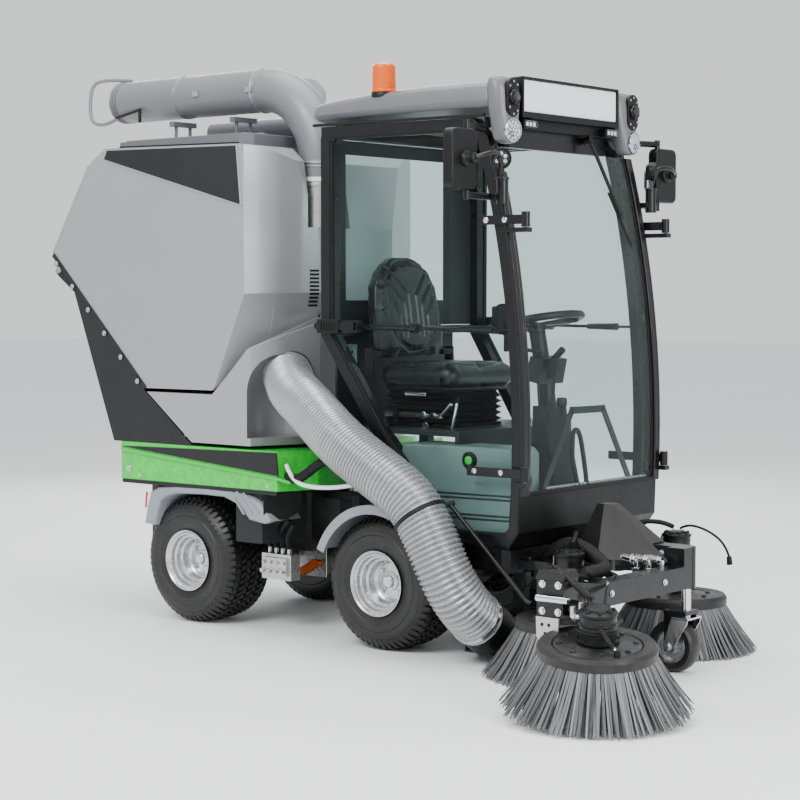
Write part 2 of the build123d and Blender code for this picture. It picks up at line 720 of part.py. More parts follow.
def steering_wheel():
    plane = Plane(WHEEL_CENTRE, x_dir=(0, 1, 0), z_dir=WHEEL_AXIS)
    rim_ring = plane * Torus(168, 14)
    hub = plane * (Pos(0, 0, -22) * Cylinder(34, 22))
    spokes = []
    for k in range(3):
        spoke = plane * (Rot(0, 0, 120 * k + 90) * Pos(88, 0, -12) * Box(150, 26, 10))
        spokes.append(spoke)
    return join(rim_ring, hub, *spokes)


PEDAL_PIVOT = (370.0, 456.0)


def pedals():
    """Drive pedal: a sloping treadle on a shaft at its heel."""
    x, z = PEDAL_PIVOT
    pad = Pos(x + 50, SEAT_Y - 120, z + 42) * Rot(0, -35, 0) * Box(150, 80, 14)
    shaft = rod((x, SEAT_Y - 160, z), (x, SEAT_Y - 80, z), 10)
    return join(pad, shaft)


def seat_base():
    plate = block(-190, 160, SEAT_Y - 190, SEAT_Y + 190, 808, 830)
    bellows = []
    for k in range(4):
        z = 830 + 28 * k
        bellows.append(block(-176, 146, SEAT_Y - 176, SEAT_Y + 176, z, z + 18))
        bellows.append(block(-160, 130, SEAT_Y - 160, SEAT_Y + 160, z + 18, z + 28))
    return join(plate, *bellows)


def seat_cushion():
    pan = block(-180, 150, SEAT_Y - 180, SEAT_Y + 180, 943, 957)
    cushion = prism_xz([(-186, 957), (186, 957), (206, 990), (196, 1046), (-60, 1040), (-150, 1044)],
                       SEAT_Y - 228, SEAT_Y + 228)
    return join(pan, cushion)


BACK_HINGE = (-176.0, 1010.0)


def seat_back():
    back = prism_xz([(-168, 1052), (-120, 1066), (-196, 1440), (-232, 1464), (-258, 1440), (-232, 1070)],
                    SEAT_Y - 212, SEAT_Y + 212)
    arm = prism_xz([(-196, 996), (-156, 996), (-166, 1080), (-200, 1080)], SEAT_Y - 246, SEAT_Y - 234)
    lug = block(-196, -166, SEAT_Y - 246, SEAT_Y - 206, 1062, 1086)
    bolt = rod((BACK_HINGE[0], SEAT_Y - 250, BACK_HINGE[1]), (BACK_HINGE[0], SEAT_Y - 240, BACK_HINGE[1]), 9)
    arms = join(arm, lug, bolt)
    flip = Pos(0, SEAT_Y, 0) * mirror_y(Pos(0, -SEAT_Y, 0) * arms)
    return join(back, arms, flip)


def side_tank():
    """Ribbed tank in the cab's right sill."""
    body = prism_xz([(300, 436), (540, 436), (540, 740), (300, 740)], -356, -236)
    for k in range(4):
        z = 500 + 58 * k
        body = join(body, block(310, 530, -360, -355, z, z + 14))
    return join(body, rod((360, -300, 738), (360, -300, 764), 34))


WIPER_PIVOT = (500.0, 150.0, 1872.0)
WIPER_SLOPE = Vector(70, 0, -272).normalized()


def wiper():
    """Single arm below the sign box, hanging parallel to the windscreen."""
    hub_at = Vector(*WIPER_PIVOT)
    out = Vector(-WIPER_SLOPE.Z, 0, WIPER_SLOPE.X)
    foot = hub_at + WIPER_SLOPE * 290 + Vector(0, 104, 0)
    hub = rod(hub_at - out * 24, hub_at + out * 12, 14)
    arm = rod(hub_at + out * 4, foot + out * 4, 7)
    along = (WIPER_SLOPE * 200 + Vector(0, 78, 0)).normalized()
    blade = rod(foot - along * 100 - out * 6, foot + along * 120 - out * 6, 6)
    return join(hub, arm, blade, rod(foot - out * 6, foot + out * 4, 9))


# ---- suction ----
HOSE_ROUTE = [
    (-572, -328, 985), (-470, -420, 936), (-310, -508, 900), (-110, -580, 787), (30, -584, 706),
    (170, -584, 634), (262, -583, 574), (318, -582, 496), (370, -578, 394), (412, -562, 290),
    (438, -508, 205), (444, -430, 150),
]


def hose_path():
    """A smooth way through the route's points, each corner rounded as far as its legs allow."""
    radii = []
    pts = [Vector(*p) for p in HOSE_ROUTE]
    for a, b, c in zip(pts, pts[1:], pts[2:]):
        turn = math.radians((b - a).get_angle(c - b))
        run = min((b - a).length, (c - b).length)
        radii.append(0.45 * run / math.tan(turn / 2))
    return FilletPolyline(*HOSE_ROUTE, radius=radii)


def suction_hose():
    path = hose_path()
    section = Plane(path @ 0, z_dir=path % 0) * (Circle(HOSE_R) - Circle(HOSE_R - HOSE_WALL))
    return sweep(section, path=path)


def suction_mouth():
    """Wide floor nozzle behind the brushes, with the hose's socket on its right end."""
    shell = block(330, 474, -330, 240, 14, 128) - block(338, 466, -322, 232, 0, 120)
    end = Vector(*HOSE_ROUTE[-1])
    way = (end - Vector(*HOSE_ROUTE[-2])).normalized()
    socket = pipe(end + way * 1, end + way * 70, HOSE_R - 2, HOSE_R - 10)
    socket = socket - block(300, 600, -340, 0, 0, 400) - block(300, 600, -600, -300, -100, 20)
    throat = block(352, 470, -400, -322, 30, 200) - block(360, 462, -420, -300, 38, 192)
    inside = rod(end, end + way * 90, HOSE_R - 10)
    hanger = block(380, 430, 118, 150, 120, 284)
    body = join(shell, throat - inside, socket) - rod(end - way * 60, end + way * 0.5, HOSE_R + 1.5)
    return join(body - block(338, 466, -340, -300, 38, 120), hanger, mirror_y(hanger))


# ---- brush gear ----


def brush_deck():
    """Lifting deck that carries the side brush arms and the third arm's post."""
    px, pz = DECK_PIVOT
    tube = rod((px, -176, pz), (px, 116, pz), 26)
    pins = rod((px, -206, pz), (px, 146, pz), 14)
    spine = block(px, 700, -150, 60, 330, 370)
    wing = block(640, 700, -380, 270, 322, 378)
    nose = block(700, 760, -150, -64, 322, 378)
    post = rod((THIRD_PIVOT[0], THIRD_PIVOT[1], 330), (THIRD_PIVOT[0], THIRD_PIVOT[1], 470), THIRD_PIN_R)
    collar = rod((THIRD_PIVOT[0], THIRD_PIVOT[1], 370), (THIRD_PIVOT[0], THIRD_PIVOT[1], 385), 50)
    body = join(tube, pins, spine, wing, nose, post, collar)
    for x, y in (ARM_RIGHT_PIVOT, ARM_LEFT_PIVOT):
        lug = block(x - 30, 660, y - 30, y + 30, 340, 372)
        body = join(body, lug) - rod((x, y, 300), (x, y, 400), ARM_PIN_R + RUNNING_GAP)
    return body


def brush_arm(pivot, centre):
    """Swing arm with its pivot pin, hydraulic motor and output shaft."""
    (px, py), (cx, cy) = pivot, centre
    pin = rod((px, py, 280), (px, py, 384), ARM_PIN_R)
    boss = rod((px, py, 276), (px, py, 334), 28)
    along = Vector(cx - px, cy - py, 0)
    angle = math.degrees(math.atan2(along.Y, along.X))
    bar = Pos(px, py, 300) * Rot(0, 0, angle) * (Pos(along.length / 2, 0, 0) * Box(along.length, 50, 40))
    motor = rod((cx, cy, 280), (cx, cy, 400), 52)
    cap = rod((cx, cy, 400), (cx, cy, 420), 40)
    shaft = rod((cx, cy, BRUSH_RING_TOP + 1), (cx, cy, 280), 30)
    return join(pin, boss, bar, motor, cap, shaft)


def brush():
    """Disc brush about the Z axis: mounting disc, ring and a cone of bristles."""
    top = BRUSH_RING_TOP
    ring_low = top - 38
    disc = Pos(0, 0, top - 6) * Cylinder(BRUSH_RING_R - 20, 12)
    ring = pipe((0, 0, ring_low), (0, 0, top), BRUSH_RING_R, BRUSH_RING_R - 50)
    section = make_face(Polyline(
        (BRUSH_RING_R - 8, 0, ring_low), (BRUSH_RING_R - 46, 0, ring_low),
        (BRUSH_TIP_R - 80, 0, 0), (BRUSH_TIP_R, 0, 0), close=True,
    ))
    skirt = revolve(section, axis=Axis.Z)
    return join(disc, ring, skirt)


LEAN = math.radians(BRUSH_TILT)
LEAN_TOWARDS = Vector(0.64, -0.77, 0).normalized()
THIRD_SPIN = LEAN_TOWARDS * math.sin(LEAN) + Vector(0, 0, math.cos(LEAN))


def third_brush_location():
    """Stands the third brush on its leading bristles, leaning outwards and forwards."""
    lift = BRUSH_TIP_R * math.sin(LEAN)
    lean = Plane(origin=(0, 0, 0), x_dir=(0.77, 0.64, 0), z_dir=THIRD_SPIN)
    return Pos(BRUSH_THIRD[0], BRUSH_THIRD[1], lift) * lean.location


def third_arm():
    """Swing arm on the deck's post: box tubes to the caster sleeve and the third motor."""
    tx, ty = THIRD_PIVOT
    cx, cy = CASTER
    hub = pipe((tx, ty, 386), (tx, ty, 446), 38, THIRD_PIN_R + RUNNING_GAP)
    forward = block(tx + 34, cx, ty - 36, ty + 36, 386, 440)
    sleeve = rod((cx, cy, 296), (cx, cy, 440), 32)
    drop = block(cx - 34, cx + 34, cy - 70, cy - 20, 300, 440)
    cross = block(cx - 34, cx + 34, -860, cy - 20, 300, 378)
    arm_box = block(cx - 40, cx + 60, -930, -850, 300, 420)
    place = third_brush_location()
    motor = place * (Pos(0, 0, BRUSH_RING_TOP + 50) * Cylinder(58, 90))
    shaft = place * (Pos(0, 0, BRUSH_RING_TOP + 5) * Cylinder(30, 8))
    hanger = rod((cx + 50, -890, 330), (BRUSH_THIRD[0] + 10, -900, 330), 26)
    body = join(hub, forward, sleeve, drop, cross, arm_box, hanger, motor, shaft)
    return body - rod((cx, cy, 280), (cx, cy, 436), STEM_R + RUNNING_GAP)


def face_at(points, z):
    return make_face(Polyline(*[(x, y, z) for x, y in points], close=True))


def arm_hood():
    """Faceted cover over the swing arm's post."""
    base = [(700, -226), (820, -256), (1052, -160), (1052, -54), (820, 42), (700, 12)]
    tip = [(736, -130), (770, -140), (800, -124), (800, -90), (770, -74), (736, -84)]
    shell = loft([face_at(base, 386), face_at(tip, 566)], ruled=True)
    inner_base = [(706, -220), (818, -249), (1044, -158), (1044, -56), (818, 35), (706, 6)]
    inner_tip = [(742, -126), (770, -134), (794, -120), (794, -94), (770, -80), (742, -88)]
    hollow = loft([face_at(inner_base, 385), face_at(inner_tip, 558)], ruled=True)
    return shell - hollow - block(780, 1110, -145, -69, 380, 442)


def caster_fork():
    x, y = CASTER
    wx = x - CASTER_TRAIL
    stem = rod((x, y, 214), (x, y, 432), STEM_R)
    crown = block(wx - 20, x + 24, y - 42, y + 42, 204, 218)
    leg = prism_xz([(wx - 16, 206), (x + 20, 206), (wx + 18, 76), (wx - 18, 76)], y - 42, y - 36)
    axle = rod((wx, y - 44, CASTER_R), (wx, y + 44, CASTER_R), 9)
    legs = join(leg, Pos(0, y, 0) * mirror_y(Pos(0, -y, 0) * leg))
    return join(stem, crown, legs, axle)


def caster_wheel():
    x, y = CASTER
    wx = x - CASTER_TRAIL
    tyre = pipe((wx, y - 30, CASTER_R), (wx, y + 30, CASTER_R), CASTER_R, 34)
    hub = pipe((wx, y - 34, CASTER_R), (wx, y + 34, CASTER_R), 36, 9 + RUNNING_GAP)
    return join(tyre, hub)


# ---- every node ----
for maker in (
    rear_chassis, rear_deck, engine_block, black_side_panels, rear_mudguards, rear_hitch,
    lower_cover, hopper_shell, hopper_hinges, hopper_trim, hopper_roof, boom_sleeve,
    boom_duct, hand_tube, hopper_hatch, front_chassis, front_mudguards, cab_frame, cab_tub,
    cab_glass, front_panel, cab_roof, lamp_pods, headlamps, beacon, hinge_pins, steering_column,
    steering_wheel, pedals, seat_base, seat_cushion, seat_back, side_tank, wiper, suction_hose,
    suction_mouth, brush_deck, third_arm, arm_hood, caster_fork, caster_wheel,
):
    save(maker.__name__, maker())

for maker in (door_frame, door_glass, mirror_head):
    right = maker()
    save(maker.__name__ + "_right", right)
    save(maker.__name__ + "_left", mirror_y(right))

save("arm_right", brush_arm(ARM_RIGHT_PIVOT, BRUSH_RIGHT))
save("arm_left", brush_arm(ARM_LEFT_PIVOT, BRUSH_LEFT))
save("brush_right", Pos(*BRUSH_RIGHT, 0) * brush())
save("brush_left", Pos(*BRUSH_LEFT, 0) * brush())
save("brush_third", third_brush_location() * brush())
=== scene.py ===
import bpy
import bmesh
import math
import random
from mathutils import Matrix, Vector


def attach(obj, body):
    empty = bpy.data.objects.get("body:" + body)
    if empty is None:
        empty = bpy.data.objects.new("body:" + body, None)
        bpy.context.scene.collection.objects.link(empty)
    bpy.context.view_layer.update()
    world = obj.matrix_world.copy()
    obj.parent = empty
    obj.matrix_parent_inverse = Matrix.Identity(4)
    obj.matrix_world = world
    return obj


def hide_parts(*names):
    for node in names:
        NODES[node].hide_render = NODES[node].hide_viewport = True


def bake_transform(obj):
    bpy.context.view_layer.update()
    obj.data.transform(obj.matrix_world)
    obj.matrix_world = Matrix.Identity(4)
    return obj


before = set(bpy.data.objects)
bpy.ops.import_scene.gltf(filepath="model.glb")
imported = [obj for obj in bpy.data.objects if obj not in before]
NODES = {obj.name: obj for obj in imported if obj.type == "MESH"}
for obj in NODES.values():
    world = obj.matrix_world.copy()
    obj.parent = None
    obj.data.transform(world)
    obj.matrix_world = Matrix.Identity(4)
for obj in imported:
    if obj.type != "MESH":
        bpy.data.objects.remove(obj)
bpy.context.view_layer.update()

# Looks of the articulated ride-on sweeper.  Shapes are given in machine
# millimetres (+X forward, +Y left, +Z up, origin under the front axle) and
# moved into the row frame by SHIFT, as the CAD is.
SHIFT = Vector((128.702, 257.13, 0.0))
CAB = "front_frame"
REAR = "rear_frame"
OUTWARD, UP, AHEAD = (0, -1, 0), (0, 0, 1), (1, 0, 0)


def to_row(p):
    return (Vector(p) + SHIFT) / 1000.0


def pts(text):
    """Points written as "x,y x,y", as a list of tuples; a list is passed through."""
    if not isinstance(text, str):
        return text
    return [tuple(float(n) if "." in n else int(n) for n in point.split(",")) for point in text.split()]


SQUARE = pts("-1,-1 1,-1 1,1 -1,1")


def around(count, r, phase=0.0):
    """Places (x, y) spaced evenly round a circle."""
    turns = [2 * math.pi * (k + phase) / count for k in range(count)]
    return [(r * math.cos(t), r * math.sin(t)) for t in turns]


# ---------------------------------------------------------------- materials

def rgb(r, g, b):
    """Screen colour 0-255 as a linear RGBA."""
    def lin(c):
        c /= 255.0
        return c / 12.92 if c <= 0.04045 else ((c + 0.055) / 1.055) ** 2.4
    return (lin(r), lin(g), lin(b), 1.0)


def scaled(colour, k):
    return (min(1.0, colour[0] * k), min(1.0, colour[1] * k), min(1.0, colour[2] * k), 1.0)


class Nodes:
    """A few shorthands for building one material's node tree."""

    def __init__(self, name):
        self.mat = bpy.data.materials.new(name)
        self.mat.use_nodes = True
        self.tree = self.mat.node_tree
        self.tree.nodes.clear()
        self.out = self.add("ShaderNodeOutputMaterial")
        self.coords = self.add("ShaderNodeTexCoord").outputs["Object"]

    def add(self, kind, constants=(), **settings):
        """A node, with constants for its sockets and values for its own settings."""
        node = self.tree.nodes.new(kind)
        for key, value in settings.items():
            setattr(node, key, value)
        for key, value in dict(constants).items():
            node.inputs[key].default_value = value
        return node

    def link(self, a, b):
        self.tree.links.new(a, b)

    def noise(self, scale, detail=3.0, rough=0.55, stretch=None):
        node = self.add("ShaderNodeTexNoise", {"Scale": scale, "Detail": detail, "Roughness": rough})
        source = self.coords
        if stretch:
            mapping = self.add("ShaderNodeMapping", {"Scale": stretch})
            self.link(self.coords, mapping.inputs["Vector"])
            source = mapping.outputs[0]
        self.link(source, node.inputs["Vector"])
        return node.outputs["Fac"]

    def between(self, value, low, high, to_low=0.0, to_high=1.0):
        node = self.add("ShaderNodeMapRange", {"From Min": low, "From Max": high, "To Min": to_low,
                                               "To Max": to_high})
        self.link(value, node.inputs["Value"])
        return node.outputs["Result"]

    def mix(self, factor, a, b):
        node = self.add("ShaderNodeMix", data_type="RGBA")
        self.link(factor, node.inputs["Factor"])
        for value, socket in ((a, node.inputs["A"]), (b, node.inputs["B"])):
            if isinstance(value, tuple):
                socket.default_value = value
            else:
                self.link(value, socket)
        return node.outputs["Result"]

    def times(self, a, b):
        node = self.add("ShaderNodeMath", operation="MULTIPLY")
        for value, socket in ((a, node.inputs[0]), (b, node.inputs[1])):
            if isinstance(value, float):
                socket.default_value = value
            else:
                self.link(value, socket)
        return node.outputs[0]

    def bump(self, height, strength, distance):
        node = self.add("ShaderNodeBump", {"Strength": strength, "Distance": distance})
        self.link(height, node.inputs["Height"])
        return node.outputs["Normal"]


DUST = rgb(150, 142, 130)


def material(name, colour, rough, metallic=0.0, vary=0.06, patch=3.0, grain=0.15, grain_scale=320.0,
             fleck=0.0, coat=0.0, dust=0.0, brushed=False, wear=0.0, spec=0.5, rounded_edges=0.0, groove=0.0):
    """Painted, moulded or bare surface with patchy colour, grain, dust, worn edges and painted shade in
    concave grooves.
    """
    n = Nodes(name)
    shader = n.add("ShaderNodeBsdfPrincipled", {"Metallic": metallic, "Specular IOR Level": spec,
                                                "Coat Weight": coat, "Coat Roughness": 0.08})
    patches = n.between(n.noise(patch, 5.0, 0.6), 0.3, 0.7)
    base = n.mix(patches, scaled(colour, 1.0 - vary), scaled(colour, 1.0 + vary))
    if fleck:
        flecks = n.between(n.noise(900.0, 1.0), 0.62, 0.75, 0.0, fleck)
        base = n.mix(flecks, base, scaled(colour, 1.5))
    if wear:
        edge = n.add("ShaderNodeNewGeometry").outputs["Pointiness"]
        worn = n.times(n.between(edge, 0.53, 0.6), n.between(n.noise(40.0), 0.4, 0.65))
        base = n.mix(n.times(worn, wear), base, scaled(colour, 1.9))
    # painted shade: where pointiness is low (concave hollows) the colour darkens towards 0.22 of itself
    if groove:
        groove_shade = n.between(n.add("ShaderNodeNewGeometry").outputs["Pointiness"], 0.4, 0.5, groove, 0.0)
        base = n.mix(groove_shade, base, scaled(colour, 0.22))
    if dust:
        height = n.add("ShaderNodeSeparateXYZ")
        n.link(n.coords, height.inputs[0])
        low = n.between(height.outputs["Z"], 0.0, 0.7, 1.0, 0.15)
        spots = n.between(n.noise(9.0, 6.0, 0.7), 0.42, 0.72)
        base = n.mix(n.times(n.times(low, spots), dust), base, DUST)
    n.link(base, shader.inputs["Base Color"])
    mottled = n.noise(patch * 6.0, 4.0, 0.6)
    n.link(n.between(mottled, 0.25, 0.75, max(0.02, rough - 0.09), min(1.0, rough + 0.09)),
           shader.inputs["Roughness"])
    stretch = (1.0, 1.0, 18.0) if brushed else None
    bump = n.bump(n.noise(grain_scale, 3.0, 0.6, stretch), grain, 0.0006)
    if rounded_edges:
        edge_bevel = n.add("ShaderNodeBevel", {"Radius": rounded_edges}, samples=4)
        n.link(edge_bevel.outputs[0], bump.node.inputs["Normal"])
    n.link(bump, shader.inputs["Normal"])
    n.link(shader.outputs[0], n.out.inputs[0])
    return n.mat


def pane(name, tint, gloss, rough=0.03):
    """Thin see-through glass: a tint for what is behind it and a gloss that grows at grazing angles."""
    n = Nodes(name)
    through = n.add("ShaderNodeBsdfTransparent", {"Color": tint})
    shine = n.add("ShaderNodeBsdfPrincipled")
    smears = n.noise(6.0, 4.0, 0.6)
    n.link(n.mix(n.between(smears, 0.35, 0.7), scaled(tint, 0.72), scaled(tint, 0.9)),
           shine.inputs["Base Color"])
    n.link(n.between(smears, 0.3, 0.7, rough, rough + 0.04), shine.inputs["Roughness"])
    weight = n.add("ShaderNodeLayerWeight", {"Blend": gloss})
    joined = n.add("ShaderNodeMixShader")
    n.link(weight.outputs["Fresnel"], joined.inputs[0])
    n.link(through.outputs[0], joined.inputs[1])
    n.link(shine.outputs[0], joined.inputs[2])
    n.link(joined.outputs[0], n.out.inputs[0])
    return n.mat


TYRE = material("tyre_rubber", rgb(9, 9, 10), 0.44, vary=0.12, patch=9, grain=0.2, grain_scale=500,
                dust=0.05)
RIM = material("rim_paint", rgb(196, 198, 200), 0.26, metallic=0.8, vary=0.03, patch=8, grain=0.03,
               grain_scale=700, coat=0.2, dust=0.04)
SILVER = material("silver_paint", rgb(160, 161, 164), 0.36, metallic=0.45, vary=0.025, patch=1.2,
                  grain=0.05, grain_scale=900, fleck=0.18, coat=0.35, rounded_edges=0.004)
DARK = material("dark_panel", rgb(30, 30, 31), 0.52, vary=0.1, grain=0.3, grain_scale=450,
                spec=0.3, rounded_edges=0.003)
GRAPHITE = material("black_frame_paint", rgb(6, 6, 7), 0.32, vary=0.12, patch=5, grain=0.1,
                    grain_scale=500, coat=0.12, wear=0.35, spec=0.35, rounded_edges=0.0025)
PLASTIC = material("black_moulding", rgb(8, 8, 9), 0.42, vary=0.12, patch=7, grain=0.35,
                   grain_scale=520, spec=0.3, rounded_edges=0.0025)
GREEN = material("green_paint", rgb(42, 186, 56), 0.34, vary=0.04, patch=2, grain=0.05,
                 grain_scale=500, coat=0.2, wear=0.3, rounded_edges=0.004)
FENDER = material("fender_moulding", rgb(134, 141, 148), 0.45, vary=0.05, patch=4, grain=0.3,
                  grain_scale=600, dust=0.12, rounded_edges=0.004)
DUCT = material("duct_moulding", rgb(118, 120, 124), 0.38, metallic=0.15, vary=0.05, patch=4,
                grain=0.25, grain_scale=600)
ROOF = material("roof_moulding", rgb(100, 102, 106), 0.36, metallic=0.1, grain=0.3,
                grain_scale=600, rounded_edges=0.004)
ENGINE = material("engine_metal", rgb(44, 46, 50), 0.45, metallic=0.6, vary=0.15, patch=12,
                  grain=0.3, grain_scale=300, dust=0.3, rounded_edges=0.002)
STEEL = material("zinc_steel", rgb(184, 184, 182), 0.3, metallic=0.85, vary=0.05, patch=14,
                 grain=0.05, grain_scale=400, brushed=True)
CHROME = material("polished_steel", rgb(215, 216, 218), 0.14, metallic=1.0, vary=0.04, patch=10,
                  grain=0.05, grain_scale=300)
AMBER = material("amber_lens", rgb(216, 90, 0), 0.22, vary=0.08, patch=20, grain=0.25,
                 grain_scale=260, coat=0.05, spec=0.25)
RUBBER = material("seal_rubber", rgb(11, 11, 12), 0.56, vary=0.15, patch=12, grain=0.3,
                  grain_scale=500, spec=0.3)
VINYL = material("seat_vinyl", rgb(20, 22, 24), 0.33, vary=0.14, patch=8, grain=0.5, grain_scale=700)
# groove=0.75 paints shade into the hollows between the hose's ribs
HOSE = material("hose_plastic", rgb(158, 160, 163), 0.26, metallic=0.55, vary=0.03, patch=9,
                grain=0.02, grain_scale=400, dust=0.04, groove=0.75)
TANK = material("tank_moulding", rgb(104, 120, 118), 0.35, vary=0.15, patch=7, grain=0.3,
                grain_scale=500)
TUB = material("cab_lining", rgb(30, 33, 35), 0.5, vary=0.12, patch=6, grain=0.45,
               grain_scale=420, rounded_edges=0.004)
WHITE = material("white_plate", rgb(236, 238, 240), 0.35, vary=0.02, patch=5, grain=0.05,
                 grain_scale=500)
HOOD = material("hood_steel", rgb(26, 25, 25), 0.36, metallic=0.1, vary=0.14, patch=4, grain=0.2,
                grain_scale=500, wear=0.5, spec=0.4, rounded_edges=0.003)
MIRROR = material("mirror_silvering", rgb(205, 210, 214), 0.05, metallic=1.0, vary=0.01, patch=5,
                  grain=0.0, grain_scale=200)
YELLOW = material("yellow_tip", rgb(236, 214, 40), 0.4, patch=20, grain_scale=500)
RED = material("red_reflector", rgb(190, 24, 22), 0.2, vary=0.08, patch=60, grain=0.4,
               grain_scale=300, coat=0.6)
GLASS = pane("cab_glazing", (0.908, 0.966, 0.958, 1.0), 0.1)
LENS = pane("clear_lens", rgb(238, 242, 246), 0.25, 0.06)


def bristle_material():
    n = Nodes("brush_bristle")
    shader = n.add("ShaderNodeBsdfPrincipled")
    each = n.add("ShaderNodeNewGeometry").outputs["Random Per Island"]
    shade = n.mix(each, rgb(32, 33, 36), rgb(122, 124, 128))
    along = n.between(n.noise(60.0, 3.0), 0.35, 0.7)
    n.link(n.mix(n.times(along, 0.3), shade, rgb(104, 102, 98)), shader.inputs["Base Color"])
    n.link(n.between(each, 0.0, 1.0, 0.35, 0.55), shader.inputs["Roughness"])
    n.link(n.bump(n.noise(500.0), 0.2, 0.0004), shader.inputs["Normal"])
    n.link(shader.outputs[0], n.out.inputs[0])
    return n.mat


BRISTLE = bristle_material()
RING = material("ring_moulding", rgb(20, 20, 21), 0.5, vary=0.12, patch=8, grain=0.3,
                grain_scale=400, dust=0.1, spec=0.4)

# ---------------------------------------------------------------- geometry helpers


def link(ob):
    bpy.context.scene.collection.objects.link(ob)
    return ob


def basis(axis):
    """Two unit vectors square to an axis."""
    axis = Vector(axis).normalized()
    side = Vector((0, 0, 1)) if abs(axis.z) < 0.9 else Vector((1, 0, 0))
    u = side.cross(axis).normalized()
    return u, axis.cross(u), axis


def circle(centre, u, v, r, steps):
    """Points round a centre, in the plane of u and v."""
    turns = [2 * math.pi * k / steps for k in range(steps)]
    return [centre + (u * math.cos(t) + v * math.sin(t)) * r for t in turns]


AXIS_R = 0.5


class Shape:
    """Collects solids in machine millimetres, then becomes one piece in the row frame."""

    def __init__(self, place=None):
        self.bm = bmesh.new()
        self.place = place or Matrix()

    def loft(self, rings, closed=False):
        """Skin rings of points, with end caps unless the last ring joins the first."""
        rows = [[self.bm.verts.new(to_row(self.place @ Vector(p))) for p in ring] for ring in rings]
        pairs = list(zip(rows, rows[1:]))
        if closed:
            pairs.append((rows[-1], rows[0]))
        for a, b in pairs:
            count = len(a)
            for i in range(count):
                j = (i + 1) % count
                self.bm.faces.new((a[i], a[j], b[j], b[i]))
        if not closed:
            self.bm.faces.new(rows[0])
            self.bm.faces.new(list(reversed(rows[-1])))
        return self

    def prism(self, outline, low, high, plane="xz"):
        """An outline in one plane, drawn out from low to high along the third axis."""
        def at(a, b, c):
            return {"xz": (a, c, b), "xy": (a, b, c), "yz": (c, a, b)}[plane]
        return self.loft([[at(a, b, c) for a, b in pts(outline)] for c in (low, high)])

    def box(self, x0, x1, y0, y1, z0, z1):
        return self.prism([(x0, y0), (x1, y0), (x1, y1), (x0, y1)], z0, z1, "xy")

    def lathe(self, profile, origin, axis, steps=48):
        """Revolve (radius, height) points; a profile that starts at AXIS_R is solid, any other a ring."""
        u, v, w = basis(axis)
        o, profile = Vector(origin), pts(profile)
        rings = []
        for d in circle(Vector(), u, v, 1.0, steps):
            rings.append([o + d * r + w * h for r, h in profile])
        if profile[0][0] > AXIS_R:
            return self.loft(rings, closed=True)
        return self.loft(list(zip(*rings)))

    def rod(self, start, end, radius, radius_end=None, steps=20):
        a, b = Vector(start), Vector(end)
        u, v, _ = basis(b - a)
        ends = ((a, radius), (b, radius if radius_end is None else radius_end))
        return self.loft([circle(p, u, v, r, steps) for p, r in ends])

    def bolt(self, at, normal, r=8.0, h=5.0):
        """A hexagon head on its washer."""
        p, w = Vector(at), Vector(normal).normalized()
        self.rod(p, p + w * 1.6, r * 1.25, steps=18)
        return self.rod(p + w * 1.6, p + w * h, r, r * 0.94, steps=6)

    def bolts(self, places, normal, r=8.0, h=5.0):
        for at in pts(places):
            self.bolt(at, normal, r, h)
        return self

    def mirrored(self):
        """Add the left-hand copy of everything so far."""
        centre = SHIFT.y / 1000.0
        copied = bmesh.ops.duplicate(self.bm, geom=self.bm.verts[:] + self.bm.edges[:] + self.bm.faces[:])
        for item in copied["geom"]:
            if isinstance(item, bmesh.types.BMVert):
                item.co.y = 2 * centre - item.co.y
        return self

    def piece(self, name, mat, body, bevel=1.2, segments=2, sharp=38, replaces=(), subdivide=0):
        bmesh.ops.recalc_face_normals(self.bm, faces=self.bm.faces)
        me = bpy.data.meshes.new(name)
        self.bm.to_mesh(me)
        self.bm.free()
        return settle(bpy.data.objects.new(name, me), mat, body, bevel, segments, sharp, replaces, subdivide)


def settle(ob, mat, body, bevel, segments, sharp, replaces, subdivide):
    """Give a new object its material, shading, modifiers, body and the nodes it replaces."""
    me = ob.data
    me.materials.clear()
    me.materials.append(mat)
    me.shade_smooth()
    if sharp:
        me.set_sharp_from_angle(angle=math.radians(sharp))
    link(ob)
    if subdivide:
        ob.modifiers.new("round", "SUBSURF").levels = subdivide
        ob.modifiers["round"].render_levels = subdivide
    if bevel:
        mod = ob.modifiers.new("edge", "BEVEL")
        mod.width = bevel / 1000.0
        mod.segments = segments
        mod.limit_method = "ANGLE"
        mod.angle_limit = math.radians(35)
        mod.harden_normals = True
    if body:
        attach(ob, body)
    if replaces:
        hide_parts(*replaces)
    return ob


def tubes(name, runs, radius, mat, body):
    """Round bars or hoses, each run a list of points."""
    cu = bpy.data.curves.new(name, "CURVE")
    cu.dimensions = "3D"
    cu.bevel_depth = radius / 1000.0
    cu.bevel_resolution = 5
    cu.resolution_u = 10
    cu.use_fill_caps = True
    for run in map(pts, runs):
        sp = cu.splines.new("NURBS" if len(run) > 2 else "POLY")
        sp.points.add(len(run) - 1)
        for point, p in zip(sp.points, run):
            point.co = (*to_row(p), 1.0)
        if sp.type == "NURBS":
            sp.order_u = 3
            sp.use_endpoint_u = True
    cu.materials.append(mat)
    ob = link(bpy.data.objects.new(name, cu))
    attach(ob, body)


def arc(cx, cz, r, start, end, count):
    """Points on an arc, degrees, in a two-number plane."""
    out = []
    for k in range(count + 1):
        a = math.radians(start + (end - start) * k / count)
        out.append((cx + r * math.cos(a), cz + r * math.sin(a)))
    return out


def paint(mat, *names):
    for name in names:
        ob = NODES[name]
        if not ob.material_slots:
            ob.data.materials.append(mat)
        for slot in ob.material_slots:
            slot.material = mat


# ---------------------------------------------------------------- finishes on the CAD nodes

